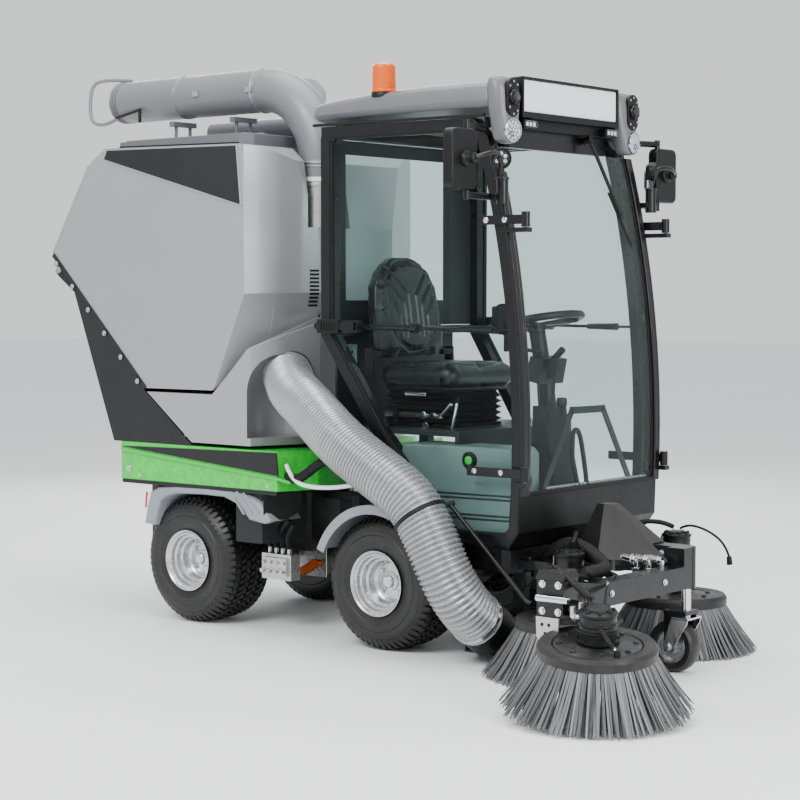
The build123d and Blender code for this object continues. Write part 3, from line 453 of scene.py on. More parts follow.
paint(ENGINE, "rear_chassis", "front_chassis", "engine_block", "rear_hitch")
paint(STEEL, "hinge_pins")
paint(GREEN, "rear_deck")
paint(DARK, "black_side_panels", "hopper_trim")
paint(SILVER, "hopper_shell", "lower_cover", "hopper_hatch", "hopper_hinges")
paint(ROOF, "hopper_roof", "cab_roof")
paint(DUCT, "boom_sleeve", "boom_duct", "hand_tube")
paint(GRAPHITE, "cab_frame", "door_frame_left", "door_frame_right", "third_arm", "arm_left", "arm_right",
      "caster_fork", "brush_deck")
paint(PLASTIC, "front_panel", "lamp_pods", "mirror_head_left", "mirror_head_right", "steering_column",
      "steering_wheel", "wiper", "pedals", "suction_mouth")
paint(FENDER, "front_mudguards")
paint(TUB, "cab_tub", "seat_base")
paint(GLASS, "cab_glass", "door_glass_left", "door_glass_right")
paint(LENS, "headlamps")
paint(AMBER, "beacon")
paint(TANK, "side_tank")
paint(HOOD, "arm_hood")
paint(RUBBER, "caster_wheel")

# ---------------------------------------------------------------- wheels

AXLE_Z = 248.0
TYRE_MID = 353.0
TYRE_HALF = 127.0
TREAD_R = 240.0


def tyre_on(s, side):
    """Turf tyre: carcass with raised sidewall rings and staggered rows of tread blocks."""
    half = TYRE_HALF
    section = [(112, -half + 10), (124, -half + 9), (150, -half + 1), (176, -half), (180, -half + 3),
               (196, -half + 2), (216, -half + 8), (230, -half + 22), (238, -half + 46), (240, 0),
               (238, half - 46), (230, half - 22), (216, half - 8), (196, half - 2), (180, half - 3),
               (176, half), (150, half - 1), (146, half - 4), (128, half - 6), (124, half - 9),
               (112, half - 10)]
    s.lathe(section, (0, 0, 0), (0, side, 0), 96)
    u, v, w = basis((0, side, 0))

    def block(angle, across, length, width, slant, base, top):
        """One tread lug at an angle round the tyre and a place across it."""
        rings = []
        for r, k in ((base, 1.0), (top, 0.86)):
            ring = []
            for a, b in SQUARE:
                t = angle + (a * length * k / 2 + slant * b * width / 2) / TREAD_R
                ring.append((u * math.cos(t) + v * math.sin(t)) * r + w * (across + b * width * k / 2))
            rings.append(ring)
        s.loft(rings)
    count = 54
    rows = pts("-78,24,0.5 -52,22,-0.5 -26,22,0.5 0,22,-0.5 26,22,0.5 52,22,-0.5 78,24,0.5")
    for row, (across, width, slant) in enumerate(rows):
        edge = abs(across) > 70
        for k in range(count):
            t = 2 * math.pi * (k + 0.5 * (row % 2)) / count
            block(t, across, 17, width, slant, 234 if edge else 237, 244.5 if edge else 247.6)
    for sign in (-1, 1):
        for k in range(count):
            t = 2 * math.pi * (k + 0.25) / count
            rings = []
            for y, r, lift in pts("90,232,11 108,221,7 122,204,3.5"):
                ring = []
                for a, up in pts("-1,0 1,0 1,1 -1,1"):
                    q = t + a * 8.5 / TREAD_R
                    d = u * math.cos(q) + v * math.sin(q)
                    ring.append(d * (r + up * lift * 0.9) + w * sign * min(126.6, y + up * lift * 0.5))
                rings.append(ring)
            s.loft(rings)
    return s


def rim_on(s, side):
    """Pressed rim: flange, stepped barrel, deep disc with nuts, hub and valve."""
    h = TYRE_HALF
    outer = [(119, h - 6), (121, h - 1), (118, h), (113, h - 4), (108, h - 12), (103, h - 14), (99, h - 30),
             (92, h - 33), (88, h - 52), (80, h - 56), (76, h - 84), (66, h - 92), (34, h - 90),
             (34, h - 100), (104, h - 100), (110, -h + 8), (112, h - 9)]
    s.lathe(outer, (0, 0, 0), (0, side, 0), 72)
    hub = [(0.5, h - 66), (18, h - 66), (22, h - 70), (24, h - 80), (36, h - 84), (38, h - 102),
           (0.5, h - 102)]
    s.lathe(hub, (0, 0, 0), (0, side, 0), 40)
    u, v, w = basis((0, side, 0))
    for count, r, phase, depth, bolt_r, bolt_h in ((4, 52, 0.5, 91, 9, 13), (10, 29, 1 / 3, 84, 3, 3)):
        for a, b in around(count, r, phase):
            s.bolt(u * a + v * b + w * (h - depth), w, bolt_r, bolt_h)
    valve_at = math.radians(70)
    d = u * math.cos(valve_at) + v * math.sin(valve_at)
    p = d * 92 + w * (h - 44)
    s.rod(p, p + w * 22 - d * 6, 4, 3, 12)
    return s


for x, where in ((0.0, "front"), (-983.0, "rear")):
    for side, hand in ((-1, "right"), (1, "left")):
        for part, maker, mat, bevel in (("tyre", tyre_on, TYRE, 0.0), ("rim", rim_on, RIM, 0.8)):
            wheel = maker(Shape(Matrix.Translation((x, side * TYRE_MID, AXLE_Z))), side)
            wheel.piece(f"{part}_{where}_{hand}_look", mat, f"wheel_{where}_{hand}", bevel=bevel, sharp=32,
                        replaces=(f"{part}_{where}_{hand}",))

# ---------------------------------------------------------------- suction hose

HOSE_ROUTE = pts("-572,-328,985 -470,-420,936 -310,-508,900 -110,-580,787 30,-584,706 170,-584,634 "
                 "262,-583,574 318,-582,496 370,-578,394 412,-562,290 438,-508,205 444,-430,150")


def route_points(points, resolution=24):
    """The smooth way along a route: its NURBS spline, read back as points in machine millimetres."""
    cu = bpy.data.curves.new("route", "CURVE")
    cu.dimensions = "3D"
    cu.resolution_u = resolution
    sp = cu.splines.new("NURBS")
    sp.points.add(len(points) - 1)
    for point, p in zip(sp.points, points):
        point.co = (*to_row(p), 1.0)
    sp.order_u = 4
    sp.use_endpoint_u = True
    ob = bpy.data.objects.new("route", cu)
    link(ob)
    bpy.context.view_layer.update()
    me = bpy.data.meshes.new_from_object(ob.evaluated_get(bpy.context.evaluated_depsgraph_get()))
    out = [v.co * 1000.0 - SHIFT for v in me.vertices]
    bpy.data.objects.remove(ob)
    bpy.data.curves.remove(cu)
    bpy.data.meshes.remove(me)
    return out


def along(points, step):
    """Even steps along a polyline: (distance, point, direction)."""
    total = [0.0]
    for a, b in zip(points, points[1:]):
        total.append(total[-1] + (b - a).length)
    out, i, count = [], 0, int(total[-1] / step)
    for k in range(count + 1):
        d = total[-1] * k / count
        while i < len(points) - 2 and total[i + 1] < d:
            i += 1
        t = (d - total[i]) / max(1e-9, total[i + 1] - total[i])
        out.append((d, points[i].lerp(points[i + 1], t), (points[i + 1] - points[i]).normalized()))
    return out


def swept(s, stations, radius_at, steps=56):
    """A round skin along stations, its radius a function of the distance."""
    u = basis(stations[0][2])[0]
    rings = []
    for d, p, w in stations:
        u = (u - w * u.dot(w)).normalized()
        rings.append(circle(p, u, w.cross(u), radius_at(d), steps))
    return s.loft(rings)


route = route_points(HOSE_ROUTE)
stations = along(route, 1.75)
HOSE_BEND_AT = 840.0
TIGHT_PITCH, WIDE_PITCH = 14.0, 17.5
HOSE_R, RIB_DEPTH = 88.5, 9.0


def hose_radius(d):
    pitch = TIGHT_PITCH if d < HOSE_BEND_AT else WIDE_PITCH
    wave = 0.5 - 0.5 * math.cos(2 * math.pi * d / pitch)
    return HOSE_R + RIB_DEPTH * wave ** 0.6


hose = swept(Shape(), stations, hose_radius, 64).piece("suction_hose_look", HOSE, None, bevel=0, sharp=0,
                                                       replaces=("suction_hose",))
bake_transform(hose)

# ---------------------------------------------------------------- disc brushes

BRISTLE_ROOT_Z = 172
FLOOR_CLEARANCE_M = 0.0002


def brush_place(which):
    """Where a disc brush stands; the third one leans towards its outer front edge."""
    if which == "third":
        lean = math.radians(8)
        towards = Vector((0.64, -0.77, 0)).normalized()
        z = towards * math.sin(lean) + Vector((0, 0, math.cos(lean)))
        x = (Vector((0.77, 0.64, 0)) - z * Vector((0.77, 0.64, 0)).dot(z)).normalized()
        y = z.cross(x)
        turn = Matrix((x, y, z)).transposed().to_4x4()
        return Matrix.Translation((1268, -922, 302 * math.sin(lean))) @ turn
    return Matrix.Translation((802, -400, 0) if which == "right" else (802, 290, 0))


def bristles(place, seed):
    """Five rings of tapering bristles that splay out from the ring to the floor."""
    r = random.Random(seed)
    s = Shape(place)
    rows = pts("178,300,150 170,286,140 160,268,130 150,248,110 141,228,90")
    for base_r, tip_r, count in rows:
        for k in range(count):
            t = 2 * math.pi * (k + r.uniform(-0.28, 0.28)) / count
            tip_t = t + r.uniform(-0.035, 0.035)
            tip = tip_r + r.uniform(-16, 2)
            foot = r.uniform(0.4, 7)
            width = r.uniform(3.0, 4.6)
            thick = r.uniform(1.0, 1.6)
            rings = []
            for h in (0.0, 0.35, 0.7, 1.0):
                q = t + (tip_t - t) * h
                rad = base_r + (tip - base_r) * (0.82 * h + 0.18 * h * h)
                z = BRISTLE_ROOT_Z + (foot - BRISTLE_ROOT_Z) * h
                d = Vector((math.cos(q), math.sin(q), 0))
                e = Vector((-math.sin(q), math.cos(q), 0))
                n = d * 0.8 + Vector((0, 0, 0.6))
                c = d * rad + Vector((0, 0, z))
                taper = 1.0 - 0.25 * h
                rings.append([c + e * a * width * taper + n * b * thick * taper for a, b in SQUARE])
            s.loft(rings)
    low = min(v.co.z for v in s.bm.verts)
    for v in s.bm.verts:
        v.co.z += max(0.0, FLOOR_CLEARANCE_M - low) * (1 if v.co.z < 0.02 else 0)
    return s


for number, which in enumerate(("right", "left", "third")):
    place = brush_place(which)
    bristles(place, number + 3).piece(f"brush_{which}_bristles", BRISTLE, f"spin_{which}", bevel=0, sharp=50,
                                      replaces=(f"brush_{which}",))
    top = Shape(place).lathe("185,167 186,192 178,204 168,205 142,201 136,194 135,167", (0, 0, 0), UP, 72)
    top.piece(f"brush_{which}_ring", RING, f"spin_{which}", bevel=1.5)
    disc = Shape(place)
    disc.lathe("136,192 136,199 120,201 70,203 66,205 40,205 40,192", (0, 0, 0), UP, 64)
    disc.bolts([(x, y, 201) for x, y in around(8, 118)], UP, 8, 7)
    disc.bolts([(x, y, 204) for x, y in around(6, 58, 0.5)], UP, 5, 4)
    disc.piece(f"brush_{which}_disc", ENGINE, f"spin_{which}", bevel=1.0)

# ---------------------------------------------------------------- hopper

STRIP_TOP, STRIP_RUN = Vector((-1752, -509, 1462)), Vector((554, 0, -540))
trim = Shape().bolts([STRIP_TOP + STRIP_RUN * (0.06 + 0.176 * k) for k in range(6)], OUTWARD, 9, 5)
trim.mirrored().piece("hopper_strip_bolts", STEEL, "hopper", bevel=0.6)


def on_nose(along_it, z, out):
    """A point on the hopper's slanted front corner and, lower down, on the facet that leans under it."""
    x = -640 + 140 * along_it
    y = -500 + 290 * along_it
    out -= max(0.0, 0.903 * (x + 685) - 0.43 * (y + 500) - 0.411 * (z - 1207))
    return (x + 0.9006 * out, y - 0.4348 * out, z)


def nose_plate(s, corners, depth_in, depth_out):
    s.loft([[on_nose(a, z, out) for a, z in corners] for out in (depth_in, depth_out)])


vents = Shape()
for k in range(10):
    z = 1256 + 15 * k
    nose_plate(vents, [(0.84, z), (0.96, z), (0.96, z + 8), (0.84, z + 8)], -1, 1.5)
vents.mirrored().piece("hopper_vent_slats", RUBBER, "hopper", bevel=0.5)
patch = Shape()
nose_plate(patch, pts("0.4,1116 0.995,1201 0.995,1251 0.4,1251"), -4, 0.6)
patch.mirrored().piece("hopper_nose_plate", SILVER, "hopper", bevel=0.5)

seams = Shape()
seams.prism("-1436,1850 -1417,1887 -1410,1880 -1427,1846", -505, -498)
seams.prism("-1434,1852 -652,1644 -653,1638 -1436,1846", -505, -498)
seams.prism("-672,1872 -650,1642 -656,1640 -678,1872", -505, -498)
seams.mirrored().piece("hopper_inlay_border", SILVER, "hopper", bevel=1.2)

Shape().loft([[(x, -y, low), (x, y, low), (x, y, high), (x, -y, high)] for x, y, low, high
              in pts("-512,226,1189,1215 -640,486,1076,1094 -800,488,931,938")]).piece(
    "cover_shoulder", SILVER, REAR, bevel=2)

# flat roof panel with two ribs, and a rim line on each side
slab = Shape()
slab.prism("-1380,-424 -716,-424 -700,-400 -700,400 -716,424 -1380,424", 1918, 1927, "xy")
for y in (-300, 300):
    slab.box(-1370, -720, y - 12, y + 12, 1925, 1934)
slab.piece("hopper_roof_panel", ROOF, "hopper", bevel=4, segments=3)
Shape().prism("-1400,1896 -722,1882 -722,1890 -1400,1904", -443, -438).mirrored().piece(
    "hopper_roof_rim", RUBBER, "hopper", bevel=1.5)

# ---------------------------------------------------------------- duct

DUCT_Y = -150
duct_path = [(-560, DUCT_Y, 1742)]
duct_path += [(x, DUCT_Y, z) for x, z in arc(-860, 1818, 300, 0, 90, 24)]
duct_path += [(-1640, DUCT_Y, 2118)]
duct_stations = along([Vector(p) for p in duct_path], 6.0)


def duct_radius(d):
    for joint in (66, 545, 985):
        if abs(d - joint) < 9:
            return 89.6 if abs(d - joint) > 3 else 86.5
    return 87.0


duct = Shape()
swept(duct, duct_stations, duct_radius, 64)
duct.piece("duct_skin", DUCT, "boom", bevel=0, sharp=50, replaces=("boom_duct",))
collar = Shape()
profile = [(60, 0), (88, 0)]
for k in range(5):
    z = 6 + 9 * k
    profile += [(88, z), (88, z + 3), (82, z + 5), (82, z + 7)]
profile += [(86, 54), (70, 56), (60, 50)]
collar.lathe(profile, (-1638, DUCT_Y, 2118), (-1, 0, 0), 64)
collar.piece("duct_end_collar", DUCT, "boom", bevel=0.8)
Shape().rod((-1640, DUCT_Y, 2118), (-1688, DUCT_Y, 2118), 66).piece("duct_mouth", RUBBER, "boom", bevel=2)
tubes("duct_guide_bar", ["-1632,-236,2046 -1700,-238,2020 -1782,-236,2028 -1814,-232,2066 -1817,-228,2150 "
                         "-1810,-214,2205 -1768,-190,2217 -1700,-170,2215 -1636,-156,2208"], 8, DUCT, "boom")
bands = Shape()
bands.lathe("88,-5 92,-4 92,4 88,5", (-860, DUCT_Y, 2118), (-1, 0, 0), 64)
bands.lathe("88,-4 91,-3 91,3 88,4", (-560, DUCT_Y, 1814), UP, 64)
bands.box(-880, -846, -246, -236, 2106, 2128)
bands.box(-1180, -1150, -246, -236, 2106, 2128)
bands.piece("duct_clamp_bands", STEEL, "boom", bevel=0.8)
lever = Shape()
lever.rod((-1500, -238, 2072), (-1640, -240, 2046), 6)
lever.rod((-1500, -236, 2078), (-1500, -236, 2020), 7)
lever.piece("duct_lever", PLASTIC, "boom", bevel=0.8)

Shape().lathe("86,1562 86,1720 89,1722 89,1732 86,1734 86,1796 90,1798 90,1802 82,1802 82,1562",
              (-560, DUCT_Y, 0), UP, 64).piece(
    "duct_sleeve_skin", STEEL, "hopper", bevel=0.6, replaces=("boom_sleeve",))
Shape().lathe("86.5,1742 87.5,1742 87.5,1758 86.5,1758", (-560, DUCT_Y, 0), UP, 64).piece(
    "duct_sleeve_label", WHITE, "hopper", bevel=0.2)

# ---------------------------------------------------------------- rear deck and lower body

Shape().prism("-1341,689 -1198,692 -470,704 -463,616", -505, -498).mirrored().piece(
    "deck_dark_wedge", DARK, REAR, bevel=2.5, segments=3)
Shape().prism("-1338,684 -463,611 -398,600 -398,590 -463,600 -1330,668", -508, -498).mirrored().piece(
    "deck_ridge", GREEN, REAR, bevel=3.0, segments=3)
Shape().box(-1330, -470, -503, -490, 541, 556).mirrored().piece("deck_lower_rail", GRAPHITE, REAR, bevel=1.5)
screws = Shape().bolt((-1293, -501, 600), OUTWARD, 11, 6)
screws.bolts(((-1230, -501, 575), (-520, -501, 575)), OUTWARD, 7, 5)
screws.mirrored().piece("deck_bolts", CHROME, REAR, bevel=0.6)


def rear_fender():
    """Thick moulded guard: a rounded skin following the flat-topped arch, with an inner lip."""
    outer = pts("-1209,386 -1195,452 -1173,514 -1128,534 -1020,545 -840,549 -655,545 -606,530 -560,510 "
                "-530,478 -505,440")
    inner = pts("-1143,379 -1128,436 -1108,478 -1070,500 -1009,513 -880,518 -764,517 -700,497 -660,470 "
                "-624,436 -540,428")
    rows = []
    for (ox, oz), (ix, iz) in zip(outer, inner):
        o, i = Vector((ox, 0, oz)), Vector((ix, 0, iz))
        ring = []
        for t, y in pts("0.0,-330 0.0,-478 0.06,-494 0.2,-503 0.5,-503.5 0.8,-502 0.94,-496 1.0,-484 "
                        "1.0,-330 0.86,-330 0.86,-470 0.14,-470 0.14,-330"):
            p = o.lerp(i, t)
            ring.append((p.x, y, p.z))
        rows.append(ring)
    return Shape().loft(rows)


rear_fender().mirrored().piece("rear_fender_skin", FENDER, REAR, bevel=2.5, segments=3, sharp=50,
                               replaces=("rear_mudguards",))
ribs = Shape()
for (ax, az), (bx, bz) in (((-715, 542), (-640, 458)), ((-680, 545), (-600, 463)),
                           ((-645, 542), (-562, 470))):
    ribs.prism([(ax - 5, az), (ax + 5, az + 1), (bx + 5, bz), (bx - 5, bz - 1)], -508, -500)
ribs.mirrored().piece("rear_fender_ribs", FENDER, REAR, bevel=3.0, segments=3)


def on_flap(along_it, z, out):
    """A point on the slotted flap, which turns inward to clear the front mudguard at full lock."""
    return (-545 + 77 * along_it + 0.866 * out, -499 + 133 * along_it - 0.5 * out, z)


Shape().loft([[on_flap(a, z, out) for z, out in ((low, 0), (low, 8), (high, 8), (high, 0))] for a, low, high
              in pts("0,440,556 0.6,444,560 1,478,563")]).mirrored().piece(
    "rear_fender_nose", PLASTIC, REAR, bevel=2.0, segments=3)
slots = Shape()
for k in range(4):
    slots.loft([[on_flap(a + wide + 0.18 * k, z, out) for wide, out in pts("0,7.4 0.07,7.4 0.07,10 0,10")]
                for a, z in ((0.04, 548), (0.34, 478))])
slots.mirrored().piece("rear_fender_slots", RUBBER, REAR, bevel=1.0)
Shape().prism("-1188,511 -1178,512 -1186,448 -1195,446", -507, -502).mirrored().piece(
    "rear_side_reflector", RED, REAR, bevel=1.5)

valve = Shape()
valve.box(-655, -501, -392, -340, 200, 300)
valve.box(-640, -516, -404, -392, 216, 286)
for x in (-630, -596, -562, -528):
    valve.rod((x, -404, 236), (x, -422, 236), 9)
    valve.bolt((x, -404, 268), OUTWARD, 7, 9)
    valve.rod((x, -372, 300), (x, -372, 324), 8)
valve.mirrored().piece("valve_block", STEEL, REAR, bevel=1.5)
tubes("valve_hoses", ["-630,-372,322 -640,-384,380 -600,-430,420 -520,-440,470", "-596,-372,322 "
                      "-600,-390,372 -560,-430,410 -500,-430,455", "-562,-372,322 -560,-390,362 "
                      "-530,-420,398 -486,-420,440", "-528,-372,322 -524,-390,352 -500,-410,386 "
                      "-470,-410,424"], 8, RUBBER, REAR)
Shape().prism("-905,150 -850,142 -735,208 -800,212", 56, 66).piece("amber_marker", AMBER, REAR, bevel=3)
plate = Shape()
plate.box(-884, -731, 68, 72, 142, 300)
plate.bolt((-868, 66, 228), OUTWARD, 6, 6)
plate.piece("marker_bracket", STEEL, REAR, bevel=1)

# ---------------------------------------------------------------- cab: seals, hardware, roof, lamps


DOOR_LEAN = math.radians(4.26)
SILL_SKIN = -34


def on_side(x, depth):
    """A point's y on the right door plane at a station x, moved outward by depth."""
    return -(480 + depth - (x + 262) * math.tan(DOOR_LEAN))


FRONT = pts("604,480 611.9,604 615,684 616.4,800 610.8,1000 597,1180 583.1,1300 568.6,1400 551.5,1500 "
            "531.7,1600 509.1,1700 479.4,1816 470,1850")
DOOR_EDGE = FRONT + pts("446,1890 410,1918 -216,1918 -250,1904 -262,1870 -262,1150 -14,776 300,424 560,424 "
                        "590,444")


def inset(points, d):
    """The outline moved inwards by d."""
    out = []
    count = len(points)
    for i in range(count):
        a, b, c = (Vector(points[i - 1]), Vector(points[i]), Vector(points[(i + 1) % count]))
        n = Vector(((b - a).y, -(b - a).x)).normalized() + Vector(((c - b).y, -(c - b).x)).normalized()
        n = n.normalized() if n.length > 1e-6 else Vector((0, 0))
        out.append((b.x - n.x * d, b.y - n.y * d))
    return out


def door_band(s, near, far, y_in, y_out):
    """A closed band that follows the door's outline, on the right door plane."""
    rings = []
    for (ax, az), (bx, bz) in zip(inset(DOOR_EDGE, near), inset(DOOR_EDGE, far)):
        rings.append([(ax, on_side(ax, y_in), az), (ax, on_side(ax, y_out), az), (bx, on_side(bx, y_out), bz),
                      (bx, on_side(bx, y_in), bz)])
    return s.loft(rings, closed=True)


SIDES = (("right", Matrix()), ("left", Matrix.Scale(-1, 4, Vector((0, 1, 0)))))


def rounded(y0, y1, z0, z1, r, steps=6):
    """A rounded rectangle outline."""
    out = []
    for cy, cz, start in ((y1 - r, z1 - r, 0), (y0 + r, z1 - r, 90), (y0 + r, z0 + r, 180),
                          (y1 - r, z0 + r, 270)):
        out += arc(cy, cz, r, start, start + 90, steps)
    return out


for hand, flip in SIDES:
    door = f"door_{hand}"
    door_band(Shape(flip), 38, 48, -20, -3).piece(f"door_seal_{hand}", RUBBER, door, bevel=1.5)

    grip = Shape(flip)
    grip.prism(rounded(-254, -150, 1160, 1212, 8, 3), -514, -498)
    grip.box(-150, -80, -510, -499, 1172, 1202)
    for k in range(6):
        grip.box(-238 + 13 * k, -231 + 13 * k, -518, -513, 1170, 1202)
    grip.rod((-262, -508, 1186), (-262, -486, 1186), 13)
    grip.piece(f"door_latch_{hand}", PLASTIC, door, bevel=2, segments=3)

    stay = Shape(flip)
    reach = pts("-90,1184 120,1182 150,1182 330,1180 470,1180 560,1180")
    for (x0, z0), (x1, z1), (r0, r1) in zip(reach, reach[1:], pts("9,12 18,18 6,6 11,14 5,5")):
        stay.rod((x0, on_side(x0, SILL_SKIN), z0), (x1, on_side(x1, SILL_SKIN), z1), r0, r1)
    stay.piece(f"door_stay_{hand}", GRAPHITE, door, bevel=1.2)

    rivets = Shape(flip)
    for z, xs in ((684, (430, 545)), (1560, (480, 560))):
        for x in xs:
            rivets.lathe("0.5,0 11,0 10,3 5,5.5 0.5,6", (x, -449, z), OUTWARD, 20)
    rivets.piece(f"door_rivets_{hand}", CHROME, door, bevel=0)

    brace = Shape(flip)
    brace.rod((566, -470, 1612), (566, -470, 1702), 21)
    brace.lathe("0.5,90 21,90 24,86 24,80 0.5,80", (566, -470, 1616), UP, 28)
    brace.box(508, 566, -478, -440, 1630, 1650)
    brace.bolt((545, -478, 1640), OUTWARD, 7, 6)
    brace.piece(f"mirror_bracket_{hand}", GRAPHITE, door, bevel=1.5)

    work = Shape(flip)
    face = Vector((0.80, -0.58, -0.08)).normalized()
    hub = Vector((560, -476, 1768))
    work.lathe("0.5,-22 22,-20 34,-6 37,8 37,17 33,19 31,13 0.5,12", hub, face, 40)
    work.rod(hub - face * 18, hub - face * 18 - Vector((0, 0, 66)), 6)
    work.piece(f"work_light_{hand}", PLASTIC, door, bevel=1)
    Shape(flip).lathe("0.5,12 30,12 30,15 16,19 0.5,20", hub, face, 40).piece(
        f"work_light_lens_{hand}", LENS, door, bevel=0)
    cells = Shape(flip)
    u, v, w = basis(face)
    for a, b in around(6, 17, 0.5):
        c = hub + u * a + v * b
        cells.rod(c + w * 10, c + w * 13.5, 7.5, 7)
    cells.piece(f"work_light_cells_{hand}", CHROME, door, bevel=0.5)

    Shape(flip).prism(rounded(-708, -566, 1656, 1864, 26, 7), 490, 534, "yz").piece(
        f"mirror_housing_{hand}", PLASTIC, f"mirror_{hand}", bevel=9, segments=4,
        replaces=(f"mirror_head_{hand}",))
    Shape(flip).lathe("0.5,0 30,0 28,8 20,13 15,15 14,26 19,30 19,38 12,43 0.5,44", (533, -632, 1762),
                      (1, 0.1, 0), 36).piece(
        f"mirror_swivel_{hand}", PLASTIC, f"mirror_{hand}", bevel=0.8)
    Shape(flip).prism(rounded(-698, -576, 1666, 1854, 20, 6), 486.5, 490.5, "yz").piece(
        f"mirror_glass_{hand}", MIRROR, f"mirror_{hand}", bevel=1)
    arm_line = pts("572,-628,1764 592,-592,1778 590,-540,1786 572,-486,1776 566,-470,1700")
    tubes(f"mirror_arm_{hand}", [[flip @ Vector(p) for p in arm_line]], 8, GRAPHITE, door)

    pillar = Shape(flip)
    for section in ("6,-437 12,-440 19,-437 22,-429 19,-421 12,-418 6,-421", "8,-414 14,-416 20,-413 22,-406 "
                    "20,-400 12,-398 8,-401"):
        pillar.loft([[(ax + dx, y, az) for dx, y in pts(section)] for ax, az in FRONT[1:12]])
    pillar.piece(f"pillar_bead_{hand}", GRAPHITE, CAB, bevel=0, sharp=60)

screen_seal = Shape()
for y0, y1 in ((-398, -388), (388, 398)):
    screen_seal.loft([[(ax + 6, y0, az), (ax + 15, y0, az), (ax + 15, y1, az), (ax + 6, y1, az)] for ax, az
                      in FRONT[1:12]])
screen_seal.box(619, 631, -398, 398, 606, 618)
screen_seal.piece("windscreen_seal", RUBBER, CAB, bevel=1.5)


def roof_section(x):
    """One ring of the moulded roof: a crowned top that drops to a rounded brow at the rear."""
    t = (x + 314) / 784
    half = 484 - 44 * t
    top = 2052 - 40 * (1 - min(1.0, max(0.0, t * 1.3))) ** 2
    base = 1924
    rise = top - base
    side = [(half, 0.0), (half, 0.45), (half - 3, 0.68), (half - 12, 0.84), (half - 36, 0.94),
            (half - 90, 0.975), (half - 220, 0.99), (0, 1.0)]
    ring = [(x, y, base + rise * h) for y, h in side]
    ring += [(x, -y, base + rise * h) for y, h in reversed(side[:-1])]
    return ring


roof = Shape()
roof_x = [-314, -306, -290, -250, -160, -40, 100, 240, 360, 430, 476, 486]
sections = []
for x in roof_x:
    ring = roof_section(x)
    squeeze = {-314: 0.86, -306: 0.95, -290: 0.985, 486: 0.97}.get(x, 1.0)
    sections.append([(px, py * (0.5 + 0.5 * squeeze), 1924 + (pz - 1924) * squeeze) for px, py, pz in ring])
roof.loft(sections)
roof.piece("cab_roof_shell", ROOF, CAB, bevel=2, sharp=55, subdivide=1, replaces=("cab_roof",))
gutter = Shape().prism("-300,-485 462,-441 462,-427 -300,-471", 1921, 1931, "xy")
gutter.mirrored().piece("roof_drip_rail", RUBBER, CAB, bevel=2)


def superpower(value, power):
    """A power that keeps the sign, for rounded-square outlines."""
    return math.copysign(abs(value) ** power, value)


def oval(cx, cy, hx, hy, z, power=2.6, steps=28):
    return [(cx + hx * superpower(c, 2 / power), cy + hy * superpower(s, 2 / power), z) for c, s
            in around(steps, 1)]


LAMP_FACE = 546
for hand, flip in SIDES:
    pod = Shape(flip)
    levels = pts("1826,516,-382,12,16 1829,514,-381,26,34 1840,512,-380,36,46 1872,510,-378,40,52 "
                 "1906,504,-376,40,54 1930,500,-374,40,60 1970,498,-372,42,66 2020,494,-371,42,67 "
                 "2046,490,-371,38,64 2058,484,-371,26,54 2061,480,-371,12,34")
    pod.loft([oval(cx, cy, hx, hy, z) for z, cx, cy, hx, hy in levels])
    pod.piece(f"lamp_pod_{hand}", ROOF, CAB, bevel=0, sharp=70, subdivide=1,
              replaces=("lamp_pods", "headlamps") if hand == "right" else ())
    Shape(flip).prism(rounded(-412, -346, 1918, 2052, 32, 8), 530, 546, "yz").piece(
        f"lamp_plate_{hand}", PLASTIC, CAB, bevel=3, segments=3)
    screws = pts("546,-400,2024 546,-358,2030 546,-402,1950 546,-358,1940 546,-379,2040 546,-379,1928")
    Shape(flip).bolts(screws, AHEAD, 3.2, 2.4).piece(f"lamp_screws_{hand}", CHROME, CAB, bevel=0)
    Shape(flip).lathe("0.5,2 9,3 13,7 22,9 25,12 27,9 27,0 0.5,0", (LAMP_FACE, -379, 1986), AHEAD, 40).piece(
        f"projector_ring_{hand}", GRAPHITE, CAB, bevel=0.6)
    Shape(flip).lathe("0.5,0 19,0 18,6 14,11 8,14.5 0.5,16", (LAMP_FACE + 2, -379, 1986), AHEAD, 40).piece(
        f"projector_lens_{hand}", LENS, CAB, bevel=0)
    drum = Shape(flip)
    low_face = Vector((1, -0.12, -0.05)).normalized()
    low_hub = Vector((540, -382, 1872))
    drum.lathe("0.5,0 38,0 41,4 41,10 38,12 36,6 0.5,5", low_hub, low_face, 48)
    drum.piece(f"lower_lamp_ring_{hand}", CHROME, CAB, bevel=0.8)
    cells = Shape(flip)
    u, v, w = basis(low_face)
    for ring_r, count in ((0.0, 1), (15, 6), (28, 11)):
        for a, b in around(count, ring_r):
            c = low_hub + u * a + v * b + w * 5
            cells.lathe("0.5,0 6,0 6.2,3 3.5,5 0.5,5.4", c, w, 14)
    cells.piece(f"lower_lamp_cells_{hand}", WHITE, CAB, bevel=0)
    Shape(flip).lathe("0.5,8 37,8 36,12 26,16 12,18.5 0.5,19", low_hub, low_face, 48).piece(
        f"lower_lamp_lens_{hand}", LENS, CAB, bevel=0)
    Shape(flip).prism(rounded(-296, -218, 1886, 1916, 5, 3), 500, 530, "yz").piece(
        f"side_light_body_{hand}", PLASTIC, CAB, bevel=2)
    Shape(flip).prism(rounded(-290, -224, 1890, 1912, 5, 3), 529, 538, "yz").piece(
        f"side_light_lens_{hand}", LENS, CAB, bevel=3)
    mini = Shape(flip)
    for y in (-278, -257, -236):
        mini.box(528, 532, y - 7, y + 7, 1894, 1908)
    mini.piece(f"side_light_cells_{hand}", WHITE, CAB, bevel=1)

